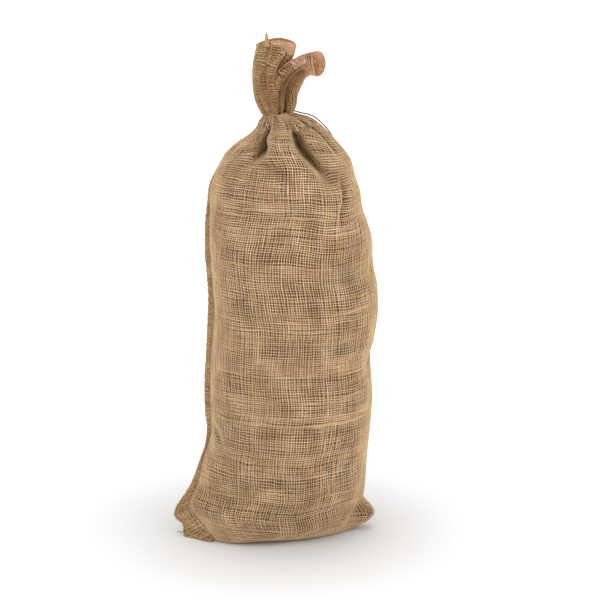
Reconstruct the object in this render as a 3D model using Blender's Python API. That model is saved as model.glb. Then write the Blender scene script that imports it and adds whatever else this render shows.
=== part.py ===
"""A hessian sack, filled to the neck, gathered and tied, standing on its base.

One length of open hessian is folded at the right side, overlocked up the left side and across
the bottom, filled, gathered at the neck and bound with jute twine. The mouth stands open above
the tie in two lobes, the right one flopped over.

Axes: X to the right, the front faces -Y, Z up. The origin is on the floor, in the patch that the
sack stands on. The tables are in millimetres and degrees. Round the sack, angle 180 is the left
seam, 270 the front, 0 the right fold and 90 the back.
"""

import math
from collections import namedtuple

import bmesh
import bpy
import numpy as np
from mathutils import Vector

MM = 0.001

# Driving dimensions, in millimetres.
TIE_HEIGHT = 600.0
NECK_RADIUS = 15.5
NECK_X = 2.0
TWINE_DIAMETER = 2.2
CLOTH_THICKNESS = 2.0
SEAM_THICKNESS = 3.2
CLEARANCE = 0.35

# How finely the solids are drawn.
BODY_POINTS = 66
LOBE_POINTS = 40
BODY_STEP = 16.0
SHOULDER_STEP = 8.0
SHOULDER_START = 445.0

# The filled body, floor to neck, and the short stem that carries the mouth. A section joins its
# left and right edges, at (left, left_y) and (right, right_y), by a front and a back that stand
# proud of that line. Fullness flattens the middle of the curve. An edge value of 2 is round, and
# near 1 it is the sharp edge of two plies.
Section = namedtuple("Section", "z left left_y right right_y front back fullness left_edge right_edge")
SECTIONS = [
    Section(0.0, -89, -57, 97, -6, 27, 82, 2.3, 1.25, 1.7),
    Section(6.0, -95, -53, 101, -4, 35, 84, 2.3, 1.2, 1.5),
    Section(20.0, -108, -42, 107, -2, 46, 86, 2.3, 1.2, 1.4),
    Section(42.0, -127, -25, 117, 0, 60, 84, 2.3, 1.25, 1.5),
    Section(70.0, -117, -19, 121, 2, 70, 84, 2.3, 1.4, 1.7),
    Section(107.0, -108, -11, 123, 2, 78, 84, 2.3, 1.7, 1.9),
    Section(150.0, -96, -5, 127, 2, 83, 83, 2.3, 1.9, 2.0),
    Section(200.0, -97, -2, 130, 2, 85, 82, 2.2, 2.0, 2.0),
    Section(249.0, -96, 0, 127, 2, 87, 82, 2.2, 2.0, 2.0),
    Section(283.0, -93, 0, 132, 2, 87, 84, 2.2, 2.0, 2.0),
    Section(325.0, -90, 0, 137, 2, 88, 86, 2.2, 2.0, 2.0),
    Section(354.0, -92, 0, 136, 2, 88, 86, 2.2, 2.0, 2.0),
    Section(388.0, -94, 0, 130, 2, 87, 86, 2.2, 2.0, 2.0),
    Section(422.0, -96, 1, 128, 2, 86, 85, 2.2, 2.0, 2.0),
    Section(445.0, -96, 1, 122, 2, 84, 84, 2.2, 2.0, 2.0),
    Section(468.0, -95, 1, 114, 2, 81, 82, 2.2, 2.0, 2.0),
    Section(490.0, -95, 1, 111, 2, 77, 79, 2.1, 2.0, 2.0),
    Section(513.0, -91, 1, 104, 2, 70, 73, 2.0, 2.0, 2.0),
    Section(535.0, -81, 0, 98, 2, 59, 64, 2.0, 2.0, 2.0),
    Section(546.0, -75, 0, 91, 2, 53, 58, 2.0, 2.0, 2.0),
    Section(557.0, -62, 0, 82, 2, 46, 51, 2.0, 2.0, 2.0),
    Section(568.0, -45, 0, 72, 2, 38, 43, 2.0, 2.0, 2.0),
    Section(580.0, -32, 0, 57, 2, 29, 32, 2.0, 2.0, 2.0),
    Section(588.0, -26, 0, 42, 2, 22, 25, 2.0, 2.0, 2.0),
    Section(593.5, -21, 0, 28, 1, 18.5, 20, 2.0, 2.0, 2.0),
    Section(597.0, -15.5, 0, 21, 0, 16.5, 16.5, 2.0, 2.0, 2.0),
    Section(598.4, -13.5, 0, 17.5, 0, 15.5, 15.5, 2.0, 2.0, 2.0),
    Section(601.6, -13.5, 0, 17.5, 0, 15.5, 15.5, 2.0, 2.0, 2.0),
    Section(603.5, -16, 0, 20, 0, 17, 17, 2.0, 2.0, 2.0),
    Section(607.0, -20, 0, 22, 0, 18, 18, 2.0, 2.0, 2.0),
    Section(612.0, -18, 0, 20, 0, 16, 16, 2.0, 2.0, 2.0),
    Section(617.0, -12, 0, 14, 0, 11, 11, 2.0, 2.0, 2.0),
]

# The folds and creases that run over the body. Each is a route of troughs, with the trough's
# depth and its width on the side of smaller angles (before) and of larger angles (after). A
# negative depth is a roll.
Trough = namedtuple("Trough", "z angle depth before after")
FOLDS = {
    "front left pocket": [
        Trough(594, 240, 0.0, 3, 3),
        Trough(586, 234, 5.0, 4, 4),
        Trough(574, 232, 13.0, 7, 6),
        Trough(564, 239, 21.0, 12, 8),
        Trough(555, 243, 22.0, 15, 8),
        Trough(547, 242, 15.0, 18, 9),
        Trough(537, 236, 6.0, 20, 11),
        Trough(524, 228, 0.0, 17, 12),
    ],
    "front right pocket": [
        Trough(594, 276, 0.0, 3, 3),
        Trough(587, 273, 6.0, 3.5, 5),
        Trough(574, 279, 16.0, 6, 9),
        Trough(562, 289, 24.0, 8, 12),
        Trough(552, 296, 25.0, 8, 13),
        Trough(541, 301, 21.0, 9, 14),
        Trough(530, 305, 13.0, 11, 15),
        Trough(517, 309, 6.0, 13, 17),
        Trough(498, 313, 0.0, 12, 16),
    ],
    "front panel": [
        Trough(594, 256, 0.0, 6, 6),
        Trough(580, 254, -2.5, 8, 8),
        Trough(566, 260, -4.0, 12, 12),
        Trough(552, 267, -4.0, 17, 16),
        Trough(534, 270, -2.5, 22, 22),
        Trough(508, 270, 0.0, 24, 24),
    ],
    "right shoulder crease": [
        Trough(593, 300, 0.0, 3, 3),
        Trough(588, 311, 4.5, 3, 4),
        Trough(580, 320, 5.0, 3, 4),
        Trough(571, 327, 5.0, 3, 4),
        Trough(560, 330, 4.0, 4, 5),
        Trough(549, 331, 2.0, 5, 6),
        Trough(536, 332, 0.0, 6, 6),
    ],
    "right side crease": [
        Trough(526, 326, 0.0, 8, 10),
        Trough(512, 325, 5.0, 8, 10),
        Trough(496, 324, 5.5, 6, 8),
        Trough(480, 320, 5.0, 6, 8),
        Trough(462, 315, 3.0, 8, 8),
        Trough(440, 311, 0.0, 9, 9),
    ],
    "left shoulder roll": [
        Trough(592, 205, 0.0, 6, 6),
        Trough(578, 208, -2.0, 9, 9),
        Trough(562, 214, -3.0, 13, 12),
        Trough(545, 216, -2.0, 16, 14),
        Trough(525, 216, 0.0, 16, 14),
    ],
    "left shoulder crease": [
        Trough(592, 188, 0.0, 4, 4),
        Trough(580, 187, 3.0, 4, 5),
        Trough(566, 190, 4.0, 5, 7),
        Trough(550, 193, 3.0, 6, 8),
        Trough(532, 194, 0.0, 7, 8),
    ],
    "right dent, upper": [
        Trough(410, 352, 0.0, 12, 10),
        Trough(396, 352, 5.0, 12, 10),
        Trough(386, 347, 3.0, 14, 10),
        Trough(370, 342, 0.0, 14, 10),
    ],
    "right dent, lower": [
        Trough(276, 354, 0.0, 12, 10),
        Trough(260, 354, 6.0, 12, 10),
        Trough(250, 348, 3.0, 14, 10),
        Trough(234, 343, 0.0, 14, 10),
    ],
    "left seam pucker": [
        Trough(170, 196, 0.0, 8, 10),
        Trough(152, 202, 4.0, 8, 10),
        Trough(134, 212, 4.0, 9, 12),
        Trough(112, 222, 0.0, 10, 14),
    ],
    "back left fold": [
        Trough(594, 112, 0.0, 3, 3),
        Trough(582, 113, 6.0, 4, 5),
        Trough(566, 117, 12.0, 6, 9),
        Trough(549, 122, 11.0, 8, 12),
        Trough(528, 128, 5.0, 10, 14),
        Trough(502, 132, 0.0, 12, 16),
    ],
    "back right fold": [
        Trough(594, 62, 0.0, 3, 3),
        Trough(582, 62, 7.0, 5, 4),
        Trough(568, 65, 14.0, 9, 6),
        Trough(552, 69, 14.0, 12, 7),
        Trough(532, 75, 7.0, 14, 9),
        Trough(506, 80, 0.0, 16, 12),
    ],
    "back middle fold": [
        Trough(592, 88, 0.0, 3, 3),
        Trough(580, 89, 4.0, 4, 4),
        Trough(566, 91, 5.0, 5, 5),
        Trough(550, 94, 3.0, 6, 7),
        Trough(530, 97, 0.0, 8, 8),
    ],
    "back seam fold": [
        Trough(592, 150, 0.0, 4, 4),
        Trough(580, 151, 4.0, 4, 5),
        Trough(566, 154, 6.0, 6, 7),
        Trough(550, 158, 4.0, 8, 8),
        Trough(528, 162, 0.0, 9, 9),
    ],
    "back shoulder crease": [
        Trough(590, 30, 0.0, 4, 3),
        Trough(580, 33, 4.0, 5, 4),
        Trough(566, 37, 5.0, 6, 5),
        Trough(550, 41, 3.0, 8, 6),
        Trough(526, 44, 0.0, 9, 8),
    ],
    "back belly crease": [
        Trough(470, 104, 0.0, 14, 12),
        Trough(440, 100, 3.0, 14, 12),
        Trough(400, 97, 3.5, 16, 13),
        Trough(350, 98, 0.0, 18, 16),
    ],
}

# The lines of the solid's skin lean over to run along these folds, about an angle and over a
# width, by a share that fades out down the body.
Lean = namedtuple("Lean", "fold angle width")
LEANS = [
    Lean("front right pocket", 288, 48),
    Lean("front left pocket", 236, 20),
]
LeanShare = namedtuple("LeanShare", "z share")
LEAN_SHARES = [
    LeanShare(400, 0.0),
    LeanShare(500, 0.9),
    LeanShare(530, 1.0),
    LeanShare(594, 1.0),
]

# The overlocked edge of the side seam and of the bottom corners: a narrow strip of two plies that
# leaves the body's skin at a height and an angle, and ends so far outward, back and down from
# there.
Lip = namedtuple("Lip", "z angle out back drop")
SIDE_SEAM = [
    Lip(590, 150, 2, 2, -1),
    Lip(580, 151, 4, 3, -2),
    Lip(566, 155, 4, 4, -3),
    Lip(550, 160, 4, 4, -2),
    Lip(532, 167, 4, 4, -1),
    Lip(514, 174, 4, 4, 0),
    Lip(494, 179, 4, 3, 0),
    Lip(470, 180, 6, 3, 0),
    Lip(440, 180, 6, 4, 0),
    Lip(405, 180, 7, 3, 0),
    Lip(370, 180, 7, 4, 0),
    Lip(336, 180, 8, 3, 0),
    Lip(308, 180, 9, 4, 0),
    Lip(281, 180, 8, 3, 0),
    Lip(253, 180, 7, 4, 0),
    Lip(225, 180, 8, 3, 0),
    Lip(196, 180, 8, 5, 0),
    Lip(170, 180, 8, 5, 0),
    Lip(150, 180, 6, 6, 0),
    Lip(128, 180, 3, 7, 0),
    Lip(105, 180, 3, 8, 1),
    Lip(86, 180, 6, 7, 2),
    Lip(70, 180, 10, 4, 3),
    Lip(56, 180, 15, 1, 5),
    Lip(46, 180, 20, -1, 8),
    Lip(41, 180, 22, -2, 12),
    Lip(35, 180, 19, 0, 14),
    Lip(28, 180, 20, 4, 12),
    Lip(20, 180, 27, 5, 18.5),
    Lip(13, 180, 19, 1, 12),
    Lip(7, 180, 12, -3, 5.4),
    Lip(3.4, 180, 6, -6, 1.8),
    Lip(2.2, 180, 4, -6, 0.6),
]
RIGHT_CORNER = [
    Lip(46, 0, -1, 1, 0),
    Lip(38, 0, -12, 3, 2),
    Lip(30, 0, -21, 4, 3),
    Lip(22, 0, -25, 5, 3),
    Lip(14, 0, -23, 6, 4),
    Lip(7, 0, -17, 6, 3),
    Lip(3, 0, -8, 5, 1.5),
]
SEAM_SUNK = 5.0
SEAM_BEVEL = 1.2

# The mouth above the tie. Each lobe is a thin-walled pouch on a bent middle line, open at its rim
# and closed at the neck: across is its half-width in the front view and deep its half-width front
# to back.
LobeRow = namedtuple("LobeRow", "x y z across deep")
LEFT_LOBE = [
    LobeRow(-8, 1, 605, 11, 14),
    LobeRow(-11, 1, 613, 17, 17),
    LobeRow(-14, 1, 625, 19.5, 18),
    LobeRow(-15, 1, 640, 20.5, 18.5),
    LobeRow(-14, 1, 655, 22, 19.5),
    LobeRow(-12, 1, 668, 22.5, 20),
    LobeRow(-8, 2, 680, 23.5, 20),
    LobeRow(-4, 2, 691, 25.5, 20),
    LobeRow(-3, 2, 702, 26.5, 20),
]
RIGHT_LOBE = [
    LobeRow(7, -2, 605, 13, 14),
    LobeRow(8, -3, 615, 16, 16),
    LobeRow(8, -5, 628, 17.5, 15),
    LobeRow(11, -8, 641, 18.5, 14),
    LobeRow(18, -11, 653, 17.5, 13.5),
    LobeRow(29, -12, 663, 14.5, 13),
    LobeRow(41, -11, 669, 14, 13.5),
    LobeRow(53, -9, 670.5, 16.5, 16),
]
# How far the rim stands above (or below) the last row, round the mouth.
RimPoint = namedtuple("RimPoint", "angle rise")
LEFT_RIM = [
    RimPoint(0, -9),
    RimPoint(40, -3),
    RimPoint(90, 1),
    RimPoint(114, 0),
    RimPoint(126, 8),
    RimPoint(137, -3),
    RimPoint(180, -9),
    RimPoint(235, -10),
    RimPoint(262, -12),
    RimPoint(285, -15),
    RimPoint(330, -12),
    RimPoint(360, -9),
]
RIGHT_RIM = [
    RimPoint(0, -3),
    RimPoint(70, 3),
    RimPoint(110, 5),
    RimPoint(180, 2),
    RimPoint(235, -4),
    RimPoint(290, -6),
    RimPoint(360, -3),
]
# The pleats of a lobe: a trough at an angle, deepest halfway between two places along the lobe,
# from 0 at the neck to 1 at the rim.
Pleat = namedtuple("Pleat", "angle first last depth width")
LEFT_PLEATS = [
    Pleat(283, 0.0, 1.2, 4.0, 3.0),
    Pleat(232, 0.0, 0.6, 2.5, 3.0),
    Pleat(190, 0.0, 0.5, 2.0, 3.5),
    Pleat(125, 0.0, 0.9, 4.0, 3.5),
    Pleat(75, 0.0, 0.8, 3.5, 3.5),
]
RIGHT_PLEATS = [
    Pleat(245, -0.1, 0.62, 6.0, 2.6),
    Pleat(298, -0.2, 0.72, 7.0, 2.8),
    Pleat(20, 0.0, 0.7, 3.0, 3.0),
    Pleat(95, 0.0, 0.9, 4.0, 3.5),
    Pleat(140, 0.0, 0.6, 3.0, 3.0),
]
LEFT_HOLLOW_FROM = 4
RIGHT_HOLLOW_FROM = 5
# The uneven rim starts to show this far along a lobe.
RIM_FROM = 0.6

# The knot sits behind the neck on the right, at this angle round the tie.
KNOT_ANGLE = 52.0
KNOT_SIZE = (3.6, 3.0, 3.0)
KNOT_PROUD = 0.6
TIE_POINTS = 36
# The twine's free end, from the knot over the back of the right shoulder and down: x, y, z.
FREE_END_ROUTE = [
    (17.8, 16.4, 600.3),
    (20.5, 16.8, 600.5),
    (25, 16.5, 599.2),
    (32, 16, 597.4),
    (40, 16, 595.8),
    (47, 16, 592.8),
    (53, 16.5, 588.6),
    (61, 17, 580.8),
    (68, 18, 572.5),
    (73, 21, 564),
    (76, 27, 555),
    (78, 34.5, 546),
    (80, 42.5, 535),
    (79.5, 51, 522),
    (77.5, 59, 508),
    (75, 66.5, 493),
    (71, 73, 475.5),
    (69, 77, 459),
]
FREE_END_POINTS = 60

HESSIAN_COLOUR = (0.36, 0.24, 0.14, 1.0)
TWINE_COLOUR = (0.30, 0.20, 0.11, 1.0)
CLOTH_ROUGHNESS = 0.95


def smooth(keys, values, at):
    """Value at a place along a table, on a curve that never overshoots the table's own rows."""
    keys = np.asarray(keys, dtype=float)
    values = np.asarray(values, dtype=float)
    steps = np.diff(values) / np.diff(keys)
    slopes = np.zeros(len(keys))
    same_way = steps[:-1] * steps[1:] > 0.0
    slopes[1:-1][same_way] = 2.0 * (steps[:-1] * steps[1:])[same_way] / (steps[:-1] + steps[1:])[same_way]
    slopes[0], slopes[-1] = steps[0], steps[-1]
    i = int(np.clip(np.searchsorted(keys, at) - 1, 0, len(keys) - 2))
    span = keys[i + 1] - keys[i]
    t = float(np.clip((at - keys[i]) / span, 0.0, 1.0))
    rise = t * t * (3.0 - 2.0 * t)
    leave = t * (1.0 - t) ** 2 * span
    arrive = t * t * (t - 1.0) * span
    return (1.0 - rise) * values[i] + rise * values[i + 1] + leave * slopes[i] + arrive * slopes[i + 1]


def row_at(rows, at):
    """A row of a table, read smoothly at a value of its first column."""
    columns = list(zip(*rows))
    keys = np.array(columns[0], dtype=float)
    way = 1.0 if keys[-1] > keys[0] else -1.0
    return type(rows[0])(*[smooth(way * keys, column, way * at) for column in columns])


def outline(section, degrees):
    """Points of a section at the given angles, as (x, y) rows, before any fold."""
    angle = np.radians(degrees)
    along = np.cos(angle)
    middle = (section.left + section.right) / 2.0
    half = (section.right - section.left) / 2.0
    line = section.left_y + (section.right_y - section.left_y) * (along + 1.0) / 2.0
    edge = np.where(along < 0.0, section.left_edge, section.right_edge)
    proud = (1.0 - np.minimum(np.abs(along), 1.0) ** section.fullness) ** (1.0 / edge)
    depth = np.where(np.sin(angle) < 0.0, -section.front, section.back)
    return np.column_stack([middle + half * along, line + depth * proud])


def trough_depth(distance, trough):
    """How far a trough pulls the cloth in, at signed distances along the ring from its middle."""
    width = np.where(distance < 0.0, trough.before, trough.after)
    return trough.depth * np.exp(-((distance / width) ** 2))


def folded_outline(z, degrees):
    """The body's outline at a height with its folds pressed in, as (x, y) rows in order of angle."""
    points = outline(row_at(SECTIONS, z), degrees)
    ahead = np.roll(points, -1, axis=0)
    behind = np.roll(points, 1, axis=0)
    tangent = ahead - behind
    inward = np.column_stack([-tangent[:, 1], tangent[:, 0]])
    inward /= np.linalg.norm(inward, axis=1)[:, None]
    travel = np.concatenate([[0.0], np.cumsum(np.linalg.norm(np.diff(points, axis=0), axis=1))])
    girth = travel[-1] + np.linalg.norm(points[0] - points[-1])
    depth = np.zeros(len(points))
    for route in FOLDS.values():
        if route[-1].z <= z <= route[0].z:
            trough = row_at(route, z)
            start = degrees[0]
            place = np.interp((trough.angle - start) % 360.0 + start, degrees, travel, right=girth)
            distance = (travel - place + girth / 2.0) % girth - girth / 2.0
            depth += trough_depth(distance, trough)
    return points + inward * depth[:, None]


def body_heights():
    """The heights of the body's rings: every row of the table, with even steps between them."""
    heights = []
    for low, high in zip(SECTIONS, SECTIONS[1:]):
        step = BODY_STEP if low.z < SHOULDER_START else SHOULDER_STEP
        count = max(1, math.ceil((high.z - low.z) / step))
        heights += [low.z + (high.z - low.z) * i / count for i in range(count)]
    return heights + [SECTIONS[-1].z]


def body_rings():
    """The body's skin, floor to stem, as rings of points whose lines run along the front pockets."""
    even = 180.0 + np.arange(BODY_POINTS) * 360.0 / BODY_POINTS
    rings = []
    for z in body_heights():
        angles = even.copy()
        for lean in LEANS:
            route = FOLDS[lean.fold]
            turn = (row_at(route, z).angle - route[0].angle) * row_at(LEAN_SHARES, z).share
            angles += turn * np.exp(-(((even - lean.angle) / lean.width) ** 2))
        rings.append([Vector((x, y, z)) for x, y in folded_outline(z, angles)])
    return rings


def skin_point(z, angle):
    """The point of the folded body at a height and an angle."""
    points = folded_outline(z, np.arange(0.0, 360.0))
    x, y = points[int(angle) % 360]
    return Vector((x, y, z))


def strip_rings(lips):
    """An overlocked strip on the body, as five-sided rings with a thin outer edge."""
    roots = [skin_point(lip.z, lip.angle) for lip in lips]
    edges = [root + Vector((-lip.out, lip.back, -lip.drop)) for root, lip in zip(roots, lips)]
    rings = []
    for i, (root, edge) in enumerate(zip(roots, edges)):
        run = roots[min(i + 1, len(roots) - 1)] - roots[max(i - 1, 0)]
        out = (edge - root).normalized()
        across = run.cross(out).normalized() * SEAM_THICKNESS / 2.0
        sunk = root - out * SEAM_SUNK
        near = edge - out * SEAM_BEVEL
        rings.append([sunk - across, near - across, edge, near + across, sunk + across])
    return rings


def lobe_outline(row, row_before, row_after, place, pleats, inset):
    """One ring of a lobe, square to its middle line, with its pleats; inset moves it inside the wall."""
    ahead = Vector((row_after.x - row_before.x, row_after.y - row_before.y, row_after.z - row_before.z))
    ahead.normalize()
    back = Vector((0.0, 1.0, 0.0))
    across_way = back.cross(ahead).normalized()
    deep_way = ahead.cross(across_way).normalized()
    middle = Vector((row.x, row.y, row.z))
    points = []
    for i in range(LOBE_POINTS):
        degrees = i * 360.0 / LOBE_POINTS
        angle = math.radians(degrees)
        across = (row.across - inset) * math.cos(angle)
        deep = (row.deep - inset) * math.sin(angle)
        radius = math.hypot(across, deep)
        depth = 0.0
        for pleat in pleats:
            along = (place - pleat.first) / (pleat.last - pleat.first)
            if 0.0 < along < 1.0:
                distance = ((degrees - pleat.angle + 180.0) % 360.0 - 180.0) * math.pi / 180.0 * radius
                depth += pleat.depth * math.sin(math.pi * along) * math.exp(-((distance / pleat.width) ** 2))
        shrink = 1.0 - depth / radius
        points.append(middle + across_way * across * shrink + deep_way * deep * shrink)
    return points, ahead


def lobe_rings(rows, rim, pleats, hollow_from):
    """A lobe's skin: up the outside, over the rim, and down the inside to the floor of the hollow."""
    last = len(rows) - 1

    def ring(i, inset):
        place = i / last
        before = rows[max(i - 1, 0)]
        after = rows[min(i + 1, last)]
        points, ahead = lobe_outline(rows[i], before, after, place, pleats, inset)
        lift = max(0.0, (place - RIM_FROM) / (1.0 - RIM_FROM))
        return [
            point + ahead * lift * row_at(rim, k * 360.0 / LOBE_POINTS).rise for k, point in enumerate(points)
        ]

    outside = [ring(i, 0.0) for i in range(last + 1)]
    inside = [ring(i, CLOTH_THICKNESS) for i in range(last, hollow_from - 1, -1)]
    return outside + inside


def new_object(name, work, collection):
    """An object from a bmesh whose points are in millimetres."""
    bmesh.ops.recalc_face_normals(work, faces=work.faces)
    bmesh.ops.scale(work, vec=(MM, MM, MM), verts=work.verts)
    mesh = bpy.data.meshes.new(name)
    work.to_mesh(mesh)
    work.free()
    made = bpy.data.objects.new(name, mesh)
    collection.objects.link(made)
    return made


def loft(name, rings, collection):
    """A closed skin through rings with the same number of points, capped at both ends."""
    work = bmesh.new()
    rows = [[work.verts.new(point) for point in points] for points in rings]
    for low, high in zip(rows, rows[1:]):
        for i, _ in enumerate(low):
            j = (i + 1) % len(low)
            work.faces.new((low[i], low[j], high[j], high[i]))
    work.faces.new(rows[0][::-1])
    work.faces.new(rows[-1])
    return new_object(name, work, collection)


def join(base, pieces):
    """Union the pieces into the base, and remove them."""
    for piece in pieces:
        union = base.modifiers.new("union " + piece.name, "BOOLEAN")
        union.operation = "UNION"
        union.solver = "EXACT"
        union.object = piece
    graph = bpy.context.evaluated_depsgraph_get()
    joined = bpy.data.meshes.new_from_object(base.evaluated_get(graph))
    base.modifiers.clear()
    base.data = joined
    for piece in pieces:
        bpy.data.objects.remove(piece)


def material(name, colour):
    """A plain cloth material for one node."""
    made = bpy.data.materials.new(name)
    made.use_nodes = True
    shader = made.node_tree.nodes["Principled BSDF"]
    shader.inputs["Base Color"].default_value = colour
    shader.inputs["Roughness"].default_value = CLOTH_ROUGHNESS
    shader.inputs["Metallic"].default_value = 0.0
    return made


def dress(made, finish):
    """Give an object one material and smooth shading."""
    made.data.materials.clear()
    made.data.materials.append(finish)
    if made.type == "MESH":
        made.data.shade_smooth()


def build_sack(collection, finish):
    """The cloth: the filled body, its overlocked edges and the open mouth, as one solid."""
    sack = loft("sack", body_rings(), collection)
    pieces = [
        loft("side seam", strip_rings(SIDE_SEAM), collection),
        loft("right corner", strip_rings(RIGHT_CORNER), collection),
        loft("left lobe", lobe_rings(LEFT_LOBE, LEFT_RIM, LEFT_PLEATS, LEFT_HOLLOW_FROM), collection),
        loft("right lobe", lobe_rings(RIGHT_LOBE, RIGHT_RIM, RIGHT_PLEATS, RIGHT_HOLLOW_FROM), collection),
    ]
    join(sack, pieces)
    dress(sack, finish)
    return sack


def twine(name, points, cyclic, collection):
    """A round cord of the twine's diameter through points in millimetres."""
    curve = bpy.data.curves.new(name, "CURVE")
    curve.dimensions = "3D"
    curve.bevel_depth = TWINE_DIAMETER / 2.0 * MM
    curve.bevel_resolution = 2
    curve.use_fill_caps = not cyclic
    spline = curve.splines.new("POLY")
    spline.points.add(len(points) - 1)
    for place, point in zip(spline.points, points):
        place.co = (point[0] * MM, point[1] * MM, point[2] * MM, 1.0)
    spline.use_cyclic_u = cyclic
    made = bpy.data.objects.new(name, curve)
    collection.objects.link(made)
    return made


def to_mesh(made, collection):
    """A curve object as a welded mesh object of the same name."""
    graph = bpy.context.evaluated_depsgraph_get()
    mesh = bpy.data.meshes.new_from_object(made.evaluated_get(graph))
    work = bmesh.new()
    work.from_mesh(mesh)
    bmesh.ops.remove_doubles(work, verts=work.verts, dist=0.00001)
    work.to_mesh(mesh)
    work.free()
    name = made.name
    bpy.data.objects.remove(made)
    solid = bpy.data.objects.new(name, mesh)
    collection.objects.link(solid)
    return solid


def tie_radius():
    """Radius of the tie's middle line round the neck."""
    return NECK_RADIUS + CLEARANCE + TWINE_DIAMETER / 2.0


def build_tie(collection, finish):
    """The bound turn of twine round the neck, with its knot."""
    radius = tie_radius()
    points = []
    for i in range(TIE_POINTS):
        angle = 2.0 * math.pi * i / TIE_POINTS
        points.append((NECK_X + radius * math.cos(angle), radius * math.sin(angle), TIE_HEIGHT))
    tie = to_mesh(twine("tie", points, True, collection), collection)
    angle = math.radians(KNOT_ANGLE)
    work = bmesh.new()
    bmesh.ops.create_uvsphere(work, u_segments=12, v_segments=8, radius=1.0)
    bmesh.ops.scale(work, vec=KNOT_SIZE, verts=work.verts)
    reach = radius + KNOT_SIZE[0] * KNOT_PROUD
    bmesh.ops.translate(
        work,
        vec=(NECK_X + reach * math.cos(angle), reach * math.sin(angle), TIE_HEIGHT),
        verts=work.verts,
    )
    join(tie, [new_object("knot", work, collection)])
    dress(tie, finish)
    return tie


def smooth_route(points, count):
    """Evenly numbered points on a smooth curve through a hand-chosen route."""
    points = np.array(points, dtype=float)
    keys = np.arange(len(points))
    places = np.linspace(0.0, len(points) - 1.0, count)
    return [tuple(smooth(keys, points[:, axis], place) for axis in range(3)) for place in places]


def build_free_end(collection, finish):
    """The twine's free end over the shoulder, as a plain tube."""
    made = twine("tie_end", smooth_route(FREE_END_ROUTE, FREE_END_POINTS), False, collection)
    dress(made, finish)
    return made


def main():
    """Clear the scene and build the sack and its tie."""
    for old in list(bpy.data.objects):
        bpy.data.objects.remove(old)
    collection = bpy.data.collections.new("hessian_sack")
    bpy.context.scene.collection.children.link(collection)
    hessian = material("hessian", HESSIAN_COLOUR)
    jute = material("jute twine", TWINE_COLOUR)
    build_sack(collection, hessian)
    build_tie(collection, jute)
    build_free_end(collection, jute)


main()
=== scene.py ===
"""A hessian sack, filled to the neck, gathered and tied, standing on a pale floor.

The cloth is woven here yarn by yarn: warps and wefts are ribbons that pass over and under each other on the
folded surface of the sack, in front of a dark shade layer that shows through the weave. The side seam is
overlocked with a thick jute thread, and the neck is bound with two-ply twine.

The tables and classes hold millimetres and degrees, as the part's own source does, unless their words say
otherwise. Angle 180 is the left seam, 270 the front, 0 the right fold and 90 the back. What is built from
them is in metres.
"""

import logging
import math
from dataclasses import dataclass, field, replace
from enum import Enum
from typing import NamedTuple, Sequence

import bmesh
import bpy
import numpy as np
from mathutils import Matrix, Vector
from mathutils.kdtree import KDTree


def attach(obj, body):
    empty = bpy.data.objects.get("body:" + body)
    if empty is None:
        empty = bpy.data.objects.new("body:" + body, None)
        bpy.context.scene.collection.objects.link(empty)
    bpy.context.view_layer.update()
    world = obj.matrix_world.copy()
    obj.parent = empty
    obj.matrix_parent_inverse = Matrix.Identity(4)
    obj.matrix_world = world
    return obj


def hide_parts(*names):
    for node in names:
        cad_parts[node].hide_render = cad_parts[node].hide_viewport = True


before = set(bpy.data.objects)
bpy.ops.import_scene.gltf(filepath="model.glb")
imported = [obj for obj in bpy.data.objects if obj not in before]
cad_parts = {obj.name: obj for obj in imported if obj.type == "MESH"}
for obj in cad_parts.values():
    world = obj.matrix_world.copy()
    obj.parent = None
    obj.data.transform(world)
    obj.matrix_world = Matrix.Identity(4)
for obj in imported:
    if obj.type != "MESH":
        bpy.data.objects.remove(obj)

# Short names for types. A curve is a row of places and a row of the values there.
Array = np.ndarray
Piece = bpy.types.Object
Node = bpy.types.Node
Socket = bpy.types.NodeSocket
Pair = tuple[float, float]
Triple = tuple[float, float, float]
Curve = tuple[tuple[float, ...], tuple[float, ...]]

log = logging.getLogger("hessian_sack")

MM = 0.001
ROOT = "root"
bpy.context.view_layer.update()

# The names of a piece's tone attribute, of its cloth map, and of the shared effect of fibres.
TONE = "tone"
CLOTH_MAP = "cloth"
FIBRE_GROUP = "plant fibres"

# The cloth's driving sizes, in millimetres.
WARP_PITCH = 3.6
WEFT_PITCH = 3.15
MOUTH_WEFT_PITCH = 2.6
WARP_WIDTH = 1.42
WEFT_WIDTH = 1.3
MOUTH_YARN_WIDTH = 1.1
WARP_COUNT = 176
# How far a yarn swings over and under, and how far its ridge and its edges then stand off and sink.
YARN_CRIMP = 0.30
YARN_RISE = 0.5
YARN_SKIRT = 0.34
# How far under the yarns lie the shade layer and the matted fibre of the mouth, which is painted dark as the
# shade between the yarns.
SHADE_DEPTH = 1.5
PLY_DEPTH = 0.12

# The tie, in millimetres and degrees.
TIE_HEIGHT = 600.0
NECK_X = 2.0
TWINE_DIAMETER = 2.2
TIE_RADIUS = 16.95
KNOT_ANGLE = 52.0
# Where a ply's middle lies in the twine, and how thick it is, as shares of the twine's radius.
PLY_PLACE = 0.46
PLY_SIZE = 0.58

# The uneven pitch of the wefts: its waves to a yarn, their swing, and its least and most, as shares.
PITCH_RATES = (0.05, 0.15, 0.31)
PITCH_SWING = 0.08
PITCH_LIMITS = (0.58, 1.8)
# How much of the cloth at the start of a weave is held true, in metres.
HELD_LENGTH = 0.03
# How one yarn differs from the next: the limits of a draw in standard deviations, and the spread of its tone.
LEAST_DRAW = -1.6
WIDEST_DRAW = 2.2
PALEST_DRAW = 1.1
TONE_SPREAD = 0.35
# A slub's reach in metres, the odds that there is none or one at a place, and how much paler it is.
SLUB_REACH = (0.006, 0.03)
SLUB_ODDS = (0.6, 0.4)
SLUB_TONE = 0.4
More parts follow.
